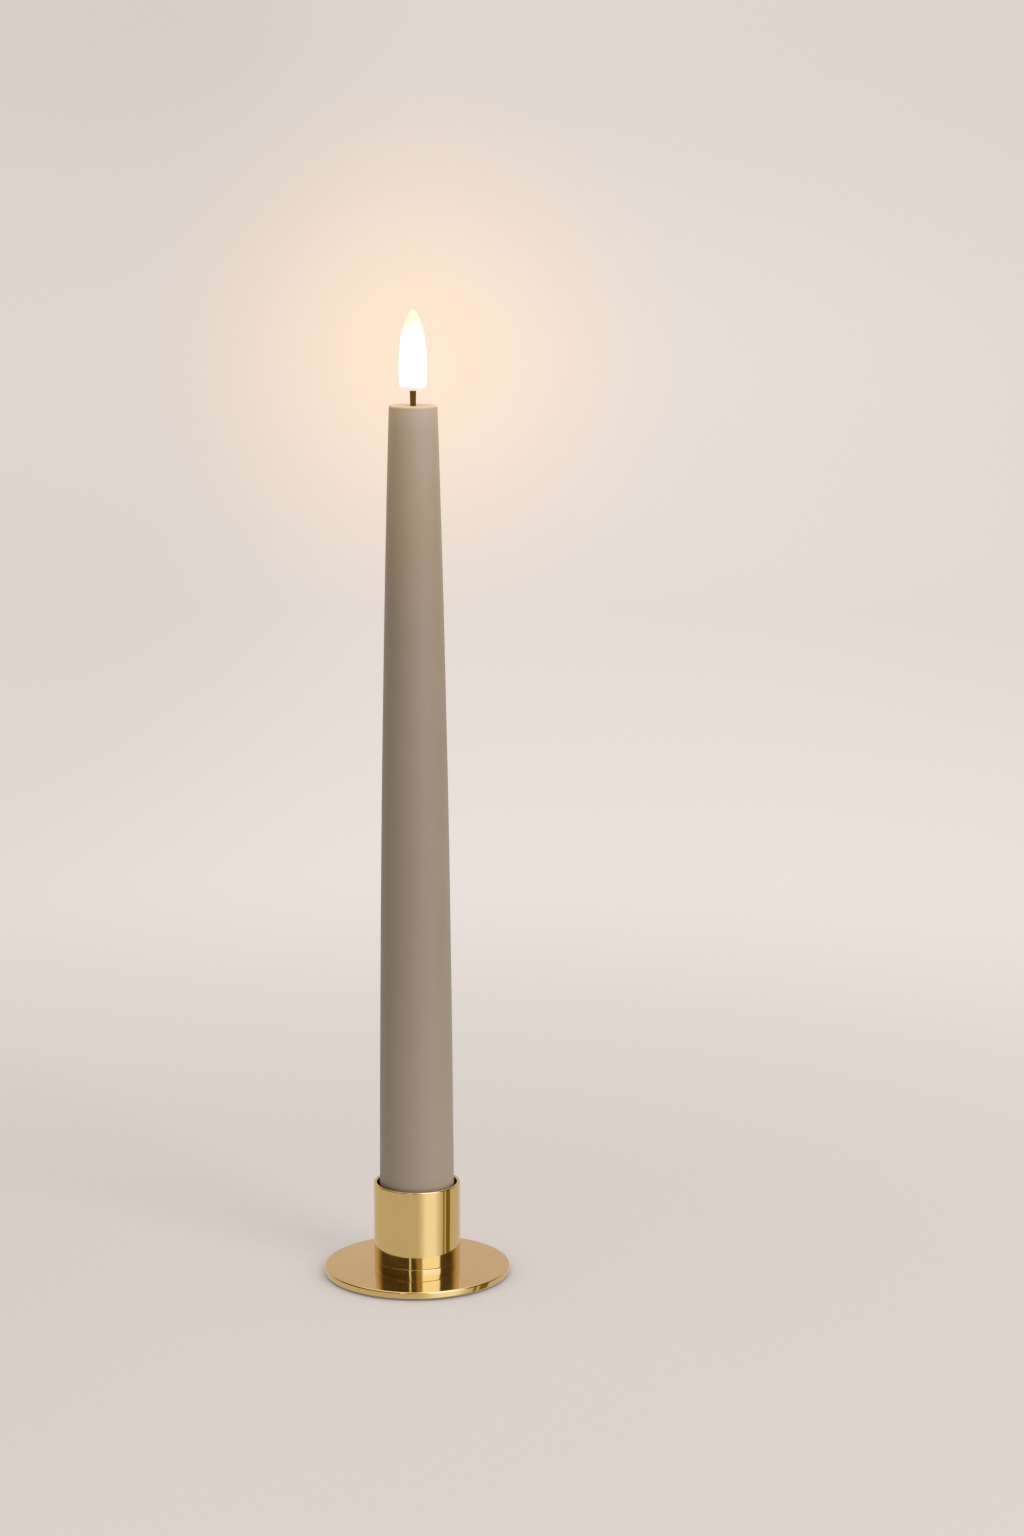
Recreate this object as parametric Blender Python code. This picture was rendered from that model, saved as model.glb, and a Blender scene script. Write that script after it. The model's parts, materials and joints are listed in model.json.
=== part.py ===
"""A battery-lit taper candle standing in a turned brass holder.

Metres, +Z up. The origin lies on the table, under the middle of the holder. Three things move:
the candle lifts out of the holder's cup, its wax shell draws up off the battery unit, and the
switch knob under its foot slides sideways through on, off and timer.
"""

import math

import bmesh
import bpy
from mathutils import Vector

MM = 0.001
GAP = 0.3 * MM  # clearance between pieces that touch on the real object
ROUND = 48  # sides of the large turned pieces
SMALL_ROUND = 24  # sides of the pieces inside the candle
FINE_ROUND = 16  # sides of pins, screws and wires' ends
SHARP_EDGE = math.radians(35)

# Holder: a disc, a shoulder with a spigot that closes the cup, and the cup's tube.
PAD_R = 24.0 * MM
PAD_T = 0.6 * MM
DISC_R = 27.0 * MM
DISC_T = 2.0 * MM
DISC_EDGE = 0.35 * MM
CUP_R = 12.6 * MM
CUP_WALL = 0.95 * MM
CUP_DEPTH = 25.1 * MM  # from the disc's top up to the cup's mouth
RIM_EDGE = 0.3 * MM
SHOULDER_T = 1.7 * MM
SPIGOT_T = 1.9 * MM

# Candle: outside shape.
CANDLE_RISE = 251.2 * MM  # from the disc's top up to the top of the wax
FOOT_R = 11.0 * MM
STEADY_TAPER = 1.43 * MM  # radius lost evenly over the height
SWEPT_TAPER = 2.70 * MM  # further radius lost, mostly towards the top
SWEEP_POWER = 2.4
WAX_WALL = 1.6 * MM
WAX_TOP_T = 1.3 * MM
WAX_EDGE = 0.6 * MM
WICK_R = 0.95 * MM
WICK_SHOWING = 4.1 * MM
FLAME_R = 3.94 * MM
FLAME_HEIGHT = 22.6 * MM
FLAME_BELLY = 6.5 * MM  # height of the flame's widest place
FLAME_WALL = 0.9 * MM
FLAME_MOUTH_R = 1.95 * MM
FLAME_FOOT_CORNER = 1.6 * MM  # height over which the flame's foot rounds in
FLAME_FOOT_ROUNDING = 0.70  # share of the width's square that the corner takes off
FLAME_DRAW_IN = 0.075  # share of the radius lost from the belly down to the foot
FLAME_SHARPNESS = 0.6  # below 1 the tip is fuller than a straight cone's

# Battery unit: foot, board, spring, two AAA cells end to end, and the cradle's head.
SEAM_HEIGHT = 25.4 * MM  # top of the foot, where the wax shell starts
FOOT_WALL = 1.4 * MM
FOOT_RECESS = 1.2 * MM
FLOOR_T = 1.2 * MM
SWITCH_T = 3.0 * MM
SWITCH_TRAVEL = 4.0 * MM  # on at one end, off halfway, timer at the other end
BOARD_T = 0.8 * MM
SPRING_T = 3.4 * MM
CELL_R = 5.25 * MM
CELL_LENGTH = 44.5 * MM
CELL_OFFSET = -0.5 * MM  # the cells sit forward, which leaves room for the strip behind them
CRADLE_R = 7.4 * MM
CRADLE_BORE_R = 5.5 * MM
HEAD_T = 1.3 * MM
FLANGE_T = 2.0 * MM
FLANGE_HEIGHT = 20.0 * MM
POST_R = 1.7 * MM
POST_OUT = 7.5 * MM  # screw posts, in front of and behind the board
STRIP_W = 2.4 * MM
STRIP_T = 0.25 * MM
STRIP_OUT = 5.25 * MM
TUBE_WALL = 1.0 * MM

# Heights above the table, worked out from the sizes above.
DISC_TOP = PAD_T + DISC_T
CUP_MOUTH = DISC_TOP + CUP_DEPTH
CUP_FLOOR = DISC_TOP + SHOULDER_T + SPIGOT_T
CANDLE_FOOT = CUP_FLOOR + GAP
FLOOR_HEIGHT = CANDLE_FOOT + FOOT_RECESS
SWITCH_HEIGHT = FLOOR_HEIGHT + FLOOR_T + GAP
BOARD_HEIGHT = SWITCH_HEIGHT + SWITCH_T + GAP
ON_BOARD = BOARD_HEIGHT + BOARD_T + GAP
LOWER_CELL = ON_BOARD + SPRING_T + GAP
UPPER_CELL = LOWER_CELL + CELL_LENGTH + GAP
TIP_HEIGHT = UPPER_CELL + CELL_LENGTH + GAP
HEAD_HEIGHT = TIP_HEIGHT + 2 * GAP
HEAD_TOP = HEAD_HEIGHT + HEAD_T
SHELL_FOOT = SEAM_HEIGHT + GAP
CONTACT_HEIGHT = HEAD_TOP + 3 * GAP  # underside of the contacts in the shell
BLOCK_HEIGHT = CONTACT_HEIGHT + 2 * GAP
BLOCK_T = 3.0 * MM
CANDLE_TOP = DISC_TOP + CANDLE_RISE
FLAME_FOOT = CANDLE_TOP + WICK_SHOWING
SOCKET_LIP_T = 0.5 * MM  # the flame socket's lip, between the tube's end and the wax top
TUBE_TOP = CANDLE_TOP - WAX_TOP_T - SOCKET_LIP_T - 2 * GAP
SOCKET_FOOT = 242.0 * MM
WICK_FOOT = 244.0 * MM
TUBE_BORE_R = CRADLE_R + GAP
TUBE_R = TUBE_BORE_R + TUBE_WALL
WIRE_R = 0.55 * MM
LEAD_R = 0.15 * MM
LEAD_OUT = 0.30 * MM  # each lead's distance from the wick's middle
SLEEVE_OUT = 1.6 * MM
SLEEVE_HEIGHT = 228.0 * MM
SLEEVE_LENGTH = 11.0 * MM

# Colour (linear red, green, blue), metallic and roughness of each material.
FINISHES = {
    "polished_brass": ((0.72, 0.46, 0.15), 1.0, 0.16),
    "black_foam": ((0.02, 0.02, 0.02), 0.0, 0.90),
    "zinc_steel": ((0.62, 0.62, 0.60), 1.0, 0.35),
    "taupe_wax": ((0.30, 0.24, 0.18), 0.0, 0.55),
    "taupe_plastic": ((0.30, 0.25, 0.20), 0.0, 0.50),
    "white_plastic": ((0.80, 0.79, 0.76), 0.0, 0.45),
    "black_plastic": ((0.03, 0.03, 0.03), 0.0, 0.45),
    "black_rubber": ((0.02, 0.02, 0.02), 0.0, 0.70),
    "green_board": ((0.02, 0.14, 0.06), 0.0, 0.45),
    "nickel": ((0.66, 0.63, 0.58), 1.0, 0.25),
    "battery_sleeve": ((0.10, 0.13, 0.16), 0.0, 0.40),
    "ceramic_chip": ((0.45, 0.33, 0.22), 0.0, 0.60),
    "red_insulation": ((0.55, 0.03, 0.02), 0.0, 0.50),
    "dark_wick": ((0.10, 0.06, 0.03), 0.0, 0.90),
    "clear_epoxy": ((0.90, 0.88, 0.75), 0.0, 0.10),
    "frosted_flame": ((0.95, 0.88, 0.72), 0.0, 0.50),
}


def candle_radius(height):
    """Outside radius of the candle at a height above the table."""
    share = (height - DISC_TOP) / CANDLE_RISE
    return FOOT_R - STEADY_TAPER * share - SWEPT_TAPER * share**SWEEP_POWER


def flame_radius(rise):
    """Outside radius of the flame at a height above its foot."""
    if rise > FLAME_BELLY:
        share = (rise - FLAME_BELLY) / (FLAME_HEIGHT - FLAME_BELLY)
        return FLAME_R * max(0.0, 1 - share**2) ** FLAME_SHARPNESS
    below = 1 - rise / FLAME_BELLY
    corner = max(0.0, 1 - rise / FLAME_FOOT_CORNER)
    drawn_in = 1 - FLAME_DRAW_IN * below**2
    return FLAME_R * drawn_in * math.sqrt(1 - FLAME_FOOT_ROUNDING * corner**2)


def steps(low, high, count):
    """Evenly spaced numbers from low to high, both included."""
    return [low + (high - low) * i / (count - 1) for i in range(count)]


def make_material(name):
    colour, metallic, roughness = FINISHES[name]
    material = bpy.data.materials.new(name)
    material.use_nodes = True
    shader = material.node_tree.nodes["Principled BSDF"]
    shader.inputs["Base Color"].default_value = (*colour, 1.0)
    shader.inputs["Metallic"].default_value = metallic
    shader.inputs["Roughness"].default_value = roughness
    material.diffuse_color = (*colour, 1.0)
    return material


class Assembly:
    """Makes each piece as its own object, under the empty of the body that it moves with."""

    def __init__(self, origins):
        self.empties = {}
        self.materials = {name: make_material(name) for name in FINISHES}
        for body, origin in origins.items():
            empty = bpy.data.objects.new(body + "_axis", None)
            empty.empty_display_size = 10 * MM
            empty.location = origin
            bpy.context.scene.collection.objects.link(empty)
            self.empties[body] = empty

    def add(self, name, data, finish, body, at):
        """Link an object whose own origin goes to the given place above the table."""
        piece = bpy.data.objects.new(name, data)
        data.materials.append(self.materials[finish])
        piece.parent = self.empties[body]
        piece.location = Vector(at) - self.empties[body].location
        bpy.context.scene.collection.objects.link(piece)
        return piece


def mesh_from(bm, name):
    """Close a bmesh into a mesh whose faces point out and whose round sides are smooth."""
    bmesh.ops.remove_doubles(bm, verts=bm.verts, dist=1e-6)
    bmesh.ops.recalc_face_normals(bm, faces=bm.faces)
    mesh = bpy.data.meshes.new(name)
    bm.to_mesh(mesh)
    bm.free()
    mesh.shade_smooth()
    mesh.set_sharp_from_angle(angle=SHARP_EDGE)
    return mesh


def turned(name, outline, sides=ROUND):
    """A solid of revolution. The outline's (radius, height) points form a loop, or run from
    the axis back to the axis."""
    bm = bmesh.new()
    points = [bm.verts.new((radius, 0, height)) for radius, height in outline]
    lines = [bm.edges.new(pair) for pair in zip(points, points[1:])]
    if outline[0][0] > 0:
        lines.append(bm.edges.new((points[-1], points[0])))
    bmesh.ops.spin(
        bm, geom=points + lines, cent=(0, 0, 0), axis=(0, 0, 1), angle=2 * math.pi,
        steps=sides, use_merge=True,
    )
    return mesh_from(bm, name)


def rod(name, radius, length, sides=FINE_ROUND):
    """A plain cylinder that stands on its own origin."""
    return turned(name, [(0, 0), (radius, 0), (radius, length), (0, length)], sides)


def block(name, size, edge=0.0):
    """A box centred in X and Y that stands on its own origin, with its upright edges bevelled."""
    bm = bmesh.new()
    bmesh.ops.create_cube(bm, size=1.0)
    for vert in bm.verts:
        vert.co = Vector((vert.co.x * size[0], vert.co.y * size[1], (vert.co.z + 0.5) * size[2]))
    if edge:
        upright = [e for e in bm.edges if abs(e.verts[0].co.z - e.verts[1].co.z) > size[2] / 2]
        bmesh.ops.bevel(bm, geom=upright, offset=edge, segments=3, affect="EDGES", profile=0.5)
    return mesh_from(bm, name)


def flat_bar(name, outline, width):
    """A bent strip: its (y, z) outline, extruded across X."""
    bm = bmesh.new()
    corners = [bm.verts.new((-width / 2, y, z)) for y, z in outline]
    face = bm.faces.new(corners)
    side = bmesh.ops.extrude_face_region(bm, geom=[face])["geom"]
    moved = [item for item in side if isinstance(item, bmesh.types.BMVert)]
    bmesh.ops.translate(bm, verts=moved, vec=(width, 0, 0))
    return mesh_from(bm, name)


def smooth_route(stops, count):
    """Evenly numbered points on a Catmull-Rom curve through the given stops."""
    stops = [Vector(stop) for stop in stops]
    ends = [2 * stops[0] - stops[1], *stops, 2 * stops[-1] - stops[-2]]
    route = []
    for share in steps(0, len(stops) - 1, count):
        first = min(int(share), len(stops) - 2)
        t = share - first
        p0, p1, p2, p3 = ends[first : first + 4]
        route.append(
            p1 + 0.5 * t * (p2 - p0 + t * (2 * p0 - 5 * p1 + 4 * p2 - p3
                                           + t * (3 * p1 - p0 - 3 * p2 + p3)))
        )
    return route


def wire(name, route, radius, resolution=1):
    """A round wire with closed ends along a route."""
    curve = bpy.data.curves.new(name, "CURVE")
    curve.dimensions = "3D"
    curve.bevel_depth = radius
    curve.bevel_resolution = resolution
    curve.use_fill_caps = True
    spline = curve.splines.new("POLY")
    spline.points.add(len(route) - 1)
    for point, place in zip(spline.points, route):
        point.co = (*place, 1.0)
    return curve


def boolean(piece, data, at, operation="DIFFERENCE"):
    """Cut a hidden helper out of a piece, or join it on. The helper's place is in the world."""
    helper = bpy.data.objects.new(f"{piece.name}_helper_{len(piece.modifiers)}", data)
    helper.hide_render = True
    helper.display_type = "WIRE"
    helper.parent = piece
    helper.location = Vector(at) - piece.location - piece.parent.location
    bpy.context.scene.collection.objects.link(helper)
    modifier = piece.modifiers.new(helper.name, "BOOLEAN")
    modifier.operation = operation
    modifier.solver = "EXACT"
    modifier.object = helper


def make_holder(parts):
    """Brass disc, shoulder and cup, with the screw and the pad underneath."""
    counterbore_r = 3.3 * MM
    counterbore_t = 1.0 * MM
    hole_r = 1.5 * MM + GAP
    roof = PAD_T + GAP

    parts.add("base_pad", rod("base_pad", PAD_R, PAD_T, ROUND), "black_foam", "holder", (0, 0, 0))

    edge = DISC_EDGE
    disc = [
        (hole_r, roof + counterbore_t), (counterbore_r, roof + counterbore_t),
        (counterbore_r, roof), (PAD_R + GAP, roof), (PAD_R + GAP, PAD_T),
        (DISC_R - edge, PAD_T), (DISC_R, PAD_T + edge), (DISC_R, DISC_TOP - 1.3 * edge),
        (DISC_R - 0.3 * edge, DISC_TOP - 0.3 * edge), (DISC_R - 1.3 * edge, DISC_TOP),
        (hole_r, DISC_TOP),
    ]
    parts.add("holder_disc", turned("holder_disc", disc), "polished_brass", "holder", (0, 0, 0))

    spigot_r = CUP_R - CUP_WALL - GAP
    spigot_top = SHOULDER_T + SPIGOT_T
    thread_top = spigot_top - 0.6 * MM
    plug = [
        (0, thread_top), (hole_r, thread_top), (hole_r, GAP), (CUP_R, GAP),
        (CUP_R, SHOULDER_T), (spigot_r, SHOULDER_T), (spigot_r, spigot_top), (0, spigot_top),
    ]
    parts.add("cup_plug", turned("cup_plug", plug), "polished_brass", "holder", (0, 0, DISC_TOP))

    foot = SHOULDER_T + GAP
    inner_r = CUP_R - CUP_WALL
    tube = [
        (inner_r, foot), (CUP_R, foot), (CUP_R, CUP_DEPTH - RIM_EDGE),
        (CUP_R - 0.3 * RIM_EDGE, CUP_DEPTH - 0.3 * RIM_EDGE), (CUP_R - RIM_EDGE, CUP_DEPTH),
        (inner_r + RIM_EDGE, CUP_DEPTH), (inner_r, CUP_DEPTH - RIM_EDGE),
    ]
    parts.add("cup_tube", turned("cup_tube", tube), "polished_brass", "holder", (0, 0, DISC_TOP))

    head_t = counterbore_t - GAP
    screw_length = DISC_TOP + thread_top - roof - 2 * GAP
    socket_r, socket_t = 1.0 * MM, 0.4 * MM
    screw = [
        (0, socket_t), (socket_r, socket_t), (socket_r, 0), (counterbore_r - 2 * GAP, 0),
        (counterbore_r - 2 * GAP, head_t), (hole_r - GAP, head_t), (hole_r - GAP, screw_length),
        (0, screw_length),
    ]
    parts.add(
        "holder_screw", turned("holder_screw", screw, SMALL_ROUND), "zinc_steel", "holder",
        (0, 0, roof),
    )


def make_foot(parts):
    """Moulded foot cap with the switch slot, and the two screws that hold it."""
    inner_r = FOOT_R - FOOT_WALL
    floor = FOOT_RECESS
    top = SEAM_HEIGHT - CANDLE_FOOT
    edge = 0.5 * MM
    cap = [
        (0, floor), (inner_r - 0.2 * MM, floor), (inner_r, 0), (FOOT_R - 2 * edge, 0),
        (FOOT_R - 1.3 * edge, 0.3 * edge), (FOOT_R - edge, edge), (FOOT_R - 0.1 * MM, top),
        (inner_r, top), (inner_r, floor + FLOOR_T), (0, floor + FLOOR_T),
    ]
    foot = parts.add(
        "foot_cap", turned("foot_cap", cap), "taupe_plastic", "battery_unit", (0, 0, CANDLE_FOOT)
    )
    slot = block("slot", (SWITCH_TRAVEL + 2.8 * MM, 2.4 * MM, 4 * FLOOR_T))
    boolean(foot, slot, (0, 0, FLOOR_HEIGHT - FLOOR_T))

    shank_r, head_r, head_t, length = 0.8 * MM, 1.5 * MM, 0.5 * MM, 9.0 * MM
    screw = [
        (0, head_t / 2), (head_r / 2, 0), (head_r, 0), (head_r, head_t), (shank_r, head_t),
        (shank_r, length - shank_r), (0.3 * shank_r, length), (0, length),
    ]
    for name, side in (("foot_screw_front", -1), ("foot_screw_back", 1)):
        hole = rod("hole", shank_r + GAP, 4 * FLOOR_T)
        boolean(foot, hole, (0, side * POST_OUT, FLOOR_HEIGHT - FLOOR_T))
        parts.add(
            name, turned(name, screw, FINE_ROUND), "zinc_steel", "battery_unit",
            (0, side * POST_OUT, FLOOR_HEIGHT - GAP - head_t),
        )


def make_switch(parts):
    """Board in the foot, the slide switch under it and the parts on top of it."""
    board = block("switch_board", (17.2 * MM, 8.6 * MM, BOARD_T), 1.6 * MM)
    parts.add("switch_board", board, "green_board", "battery_unit", (0, 0, BOARD_HEIGHT))

    body = parts.add(
        "switch_body", block("switch_body", (8.8 * MM, 3.8 * MM, SWITCH_T)), "nickel",
        "battery_unit", (0, 0, SWITCH_HEIGHT),
    )
    slot_t = 1.2 * MM
    slot = block("slot", (SWITCH_TRAVEL + 2.0 * MM, 1.6 * MM, 2 * slot_t))
    boolean(body, slot, (0, 0, SWITCH_HEIGHT - slot_t))

    knob_foot = FLOOR_HEIGHT - 0.8 * MM
    knob_t = SWITCH_HEIGHT - GAP - knob_foot
    knob_at = (-SWITCH_TRAVEL / 2, 0, knob_foot)
    knob_mesh = block("switch_knob", (2.0 * MM, 1.8 * MM, knob_t), 0.3 * MM)
    knob = parts.add("switch_knob", knob_mesh, "black_plastic", "switch_slide", knob_at)
    stem = block("stem", (1.2 * MM, 1.0 * MM, knob_t + slot_t - knob_t / 2))
    boolean(knob, stem, (knob_at[0], 0, knob_foot + knob_t / 2), "UNION")

    chip = block("control_chip", (3.9 * MM, 4.9 * MM, 1.4 * MM))
    parts.add("control_chip", chip, "black_plastic", "battery_unit", (6.2 * MM, 0, ON_BOARD))
    for name, size, finish, y in (
        ("board_capacitor", (1.2, 2.0, 0.9), "ceramic_chip", 2.6),
        ("board_resistor", (1.2, 2.0, 0.5), "black_plastic", -3.0),
    ):
        mesh = block(name, [side * MM for side in size])
        parts.add(name, mesh, finish, "battery_unit", (-4.7 * MM, y * MM, ON_BOARD))

    can_r, can_length = 1.0 * MM, 6.0 * MM
    crystal = parts.add(
        "timer_crystal", rod("timer_crystal", can_r, can_length), "nickel", "battery_unit",
        (-6.8 * MM, can_length / 2, ON_BOARD + can_r),
    )
    crystal.rotation_euler = (math.pi / 2, 0, 0)


def make_spring(parts):
    """Conical negative spring, wide on the board and narrow under the lower cell."""
    turns, per_turn = 3.5, 14
    wire_r, foot_r, top_r = 0.3 * MM, 3.2 * MM, 1.7 * MM
    coil = []
    for share in steps(0, 1, int(turns * per_turn) + 1):
        angle = 2 * math.pi * turns * share
        radius = foot_r + (top_r - foot_r) * share
        height = wire_r + (SPRING_T - 2 * wire_r) * share
        coil.append((radius * math.cos(angle), radius * math.sin(angle), height))
    parts.add(
        "battery_spring", wire("battery_spring", coil, wire_r), "nickel", "battery_unit",
        (0, CELL_OFFSET, ON_BOARD),
    )


def make_cradle(parts):
    """Trough for the cells, on a flange with two screw posts, with its O-ring and strip."""
    neck_top = 33.0 * MM
    ring_height, ring_section = 29.5 * MM, 0.45 * MM
    groove_r = CRADLE_R - 2 * ring_section
    groove_half = ring_section + GAP
    flange_r = FOOT_R - FOOT_WALL - GAP
    flange_top = FLANGE_HEIGHT + FLANGE_T
    outline = [
        (0, FLANGE_HEIGHT), (flange_r, FLANGE_HEIGHT), (flange_r, flange_top),
        (CRADLE_R, flange_top), (CRADLE_R, ring_height - groove_half),
        (groove_r, ring_height - groove_half), (groove_r, ring_height + groove_half),
        (CRADLE_R, ring_height + groove_half), (CRADLE_R, HEAD_TOP - 0.3 * MM),
        (CRADLE_R - 0.3 * MM, HEAD_TOP), (0, HEAD_TOP),
    ]
    cradle = parts.add(
        "battery_cradle", turned("battery_cradle", outline, SMALL_ROUND), "white_plastic",
        "battery_unit", (0, 0, 0),
    )
    post_foot = FLOOR_HEIGHT + FLOOR_T + GAP
    for side in (-1, 1):
        post = rod("post", POST_R, FLANGE_HEIGHT + FLANGE_T / 2 - post_foot)
        boolean(cradle, post, (0, side * POST_OUT, post_foot), "UNION")
        pilot = rod("pilot", 1.1 * MM, LOWER_CELL - 1 * MM - post_foot)
        boolean(cradle, pilot, (0, side * POST_OUT, post_foot - GAP))

    below = LOWER_CELL - GAP
    bore = rod("bore", CRADLE_BORE_R, HEAD_HEIGHT - below, SMALL_ROUND)
    boolean(cradle, bore, (0, CELL_OFFSET, below))
    slot_depth = 3.0 * MM
    strip_slot = block("strip_slot", (STRIP_W + 2 * GAP, slot_depth, HEAD_TOP + GAP - below))
    boolean(cradle, strip_slot, (0, STRIP_OUT + STRIP_T + GAP - slot_depth / 2, below))
    lip = CELL_OFFSET - 1.2 * MM
    across, deep = 20 * MM, 8 * MM
    window = block("window", (across, deep, HEAD_HEIGHT - neck_top))
    boolean(cradle, window, (0, lip - deep / 2, neck_top))
    notch, thumb_t = 0.8 * MM, 18 * MM
    thumb = block("thumb", (across, deep, thumb_t), 1.5 * MM)
    boolean(cradle, thumb, (0, lip - notch, UPPER_CELL - thumb_t / 2))
    boolean(cradle, rod("tip_hole", 1.0 * MM, 3 * HEAD_T), (0, 0, HEAD_HEIGHT - HEAD_T))

    centre_r = CRADLE_R + GAP - 0.1 * MM - ring_section
    section = [
        (centre_r + ring_section * math.cos(angle), ring_section * math.sin(angle))
        for angle in steps(0, 2 * math.pi * 7 / 8, 8)
    ]
    parts.add(
        "foot_o_ring", turned("foot_o_ring", section, SMALL_ROUND), "black_rubber",
        "battery_unit", (0, 0, ring_height),
    )

    near, far = STRIP_OUT, STRIP_OUT + STRIP_T
    tab = 3.2 * MM
    strip_top = HEAD_TOP + GAP + STRIP_T
    bend = [
        (tab, ON_BOARD), (far, ON_BOARD), (far, strip_top), (tab, strip_top),
        (tab, strip_top - STRIP_T), (near, strip_top - STRIP_T), (near, ON_BOARD + STRIP_T),
        (tab, ON_BOARD + STRIP_T),
    ]
    parts.add(
        "return_strip", flat_bar("return_strip", bend, STRIP_W), "nickel", "battery_unit",
        (0, 0, 0),
    )

    tip = HEAD_TOP + GAP - TIP_HEIGHT
    contact = [
        (0, 0), (2.6 * MM, 0), (2.6 * MM, GAP), (0.7 * MM, GAP), (0.7 * MM, tip),
        (1.5 * MM, tip), (1.2 * MM, tip + 0.3 * MM), (0, tip + 0.4 * MM),
    ]
    parts.add(
        "tip_contact", turned("tip_contact", contact, FINE_ROUND), "nickel", "battery_unit",
        (0, 0, TIP_HEIGHT),
    )


def make_cells(parts):
    """Two AAA cells, positive end up."""
    can_top, edge = CELL_LENGTH - 1.2 * MM, 0.4 * MM
    button_r = 1.9 * MM
    cell = [
        (0, 0), (CELL_R - edge, 0), (CELL_R, edge), (CELL_R, can_top - edge),
        (CELL_R - edge, can_top), (2.4 * MM, can_top), (button_r, can_top + 0.3 * MM),
        (button_r, CELL_LENGTH - 0.2 * MM), (button_r - 0.2 * MM, CELL_LENGTH), (0, CELL_LENGTH),
    ]
    for name, height in (("lower_battery", LOWER_CELL), ("upper_battery", UPPER_CELL)):
        parts.add(
            name, turned(name, cell, SMALL_ROUND), "battery_sleeve", "battery_unit",
            (0, CELL_OFFSET, height),
        )


def tube_outside(height):
    """Outside radius of the core tube: straight round the cells, then inside the taper."""
    return min(TUBE_R, candle_radius(height) - WAX_WALL - GAP)


def make_shell(parts):
    """Wax outside and the plastic tube inside it."""
    shoulder = BLOCK_HEIGHT + BLOCK_T + GAP
    straight_top = shoulder + TUBE_WALL
    heights = steps(straight_top + 4 * MM, TUBE_TOP, 6)
    outside = [(tube_outside(height), height) for height in heights]
    inside = [(radius - TUBE_WALL, height) for radius, height in reversed(outside)]
    lead_in = 0.4 * MM
    tube = [
        (TUBE_BORE_R + lead_in, SHELL_FOOT), (TUBE_R, SHELL_FOOT), (TUBE_R, straight_top),
        *outside, *inside, (inside[-1][0], shoulder), (TUBE_BORE_R, shoulder),
        (TUBE_BORE_R, SHELL_FOOT + lead_in),
    ]
    parts.add(
        "core_tube", turned("core_tube", tube, SMALL_ROUND), "white_plastic", "candle_shell",
        (0, 0, 0),
    )

    edge_foot = CANDLE_TOP - WAX_EDGE
    taper = [(candle_radius(height), height) for height in steps(SHELL_FOOT, edge_foot, 14)]
    top_r = candle_radius(CANDLE_TOP)
    corner = [
        (top_r - WAX_EDGE * (1 - math.cos(angle)), edge_foot + WAX_EDGE * math.sin(angle))
        for angle in (math.pi / 6, math.pi / 3, math.pi / 2)
    ]
    hole_r = WICK_R + GAP
    dish = 0.25 * MM
    under = CANDLE_TOP - WAX_TOP_T
    hollow = [(radius + GAP, height) for radius, height in reversed(outside)]
    wax = [
        (TUBE_R + GAP, SHELL_FOOT), *taper, *corner, (hole_r, CANDLE_TOP - dish),
        (hole_r, under), (hollow[0][0], under), *hollow, (TUBE_R + GAP, straight_top),
    ]
    parts.add("wax_shell", turned("wax_shell", wax), "taupe_wax", "candle_shell", (0, 0, 0))


def make_contacts(parts):
    """Block across the tube with the centre and ring contacts that meet the cradle's head."""
    tail_out = 4.3 * MM
    solder_tail = 0.8 * MM
    tail = BLOCK_HEIGHT + BLOCK_T + solder_tail - CONTACT_HEIGHT
    chamfer = 0.3 * MM
    disc = [
        (0, 0), (CRADLE_R - chamfer, 0), (CRADLE_R, chamfer), (CRADLE_R, BLOCK_T), (0, BLOCK_T),
    ]
    carrier = parts.add(
        "contact_block", turned("contact_block", disc, SMALL_ROUND), "white_plastic",
        "candle_shell", (0, 0, BLOCK_HEIGHT),
    )
    centre = [
        (0, 0), (1.3 * MM, 0), (1.7 * MM, GAP), (0.6 * MM, GAP), (0.6 * MM, tail), (0, tail),
    ]
    parts.add(
        "centre_contact", turned("centre_contact", centre, FINE_ROUND), "nickel",
        "candle_shell", (0, 0, CONTACT_HEIGHT + GAP / 2),
    )
    boolean(carrier, rod("centre_hole", 0.9 * MM, 3 * BLOCK_T), (0, 0, BLOCK_HEIGHT - BLOCK_T))

    ring_outline = [(3.0 * MM, 0), (5.6 * MM, 0), (5.6 * MM, GAP), (3.0 * MM, GAP)]
    ring = parts.add(
        "ring_contact", turned("ring_contact", ring_outline, SMALL_ROUND), "nickel",
        "candle_shell", (0, 0, CONTACT_HEIGHT),
    )
    pin = rod("pin", 0.5 * MM, tail - GAP / 2, 10)
    boolean(ring, pin, (0, tail_out, CONTACT_HEIGHT + GAP / 2), "UNION")
    boolean(carrier, rod("pin_hole", 0.8 * MM, 3 * BLOCK_T), (0, tail_out, BLOCK_HEIGHT - BLOCK_T))
    return CONTACT_HEIGHT + tail + GAP, tail_out


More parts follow.
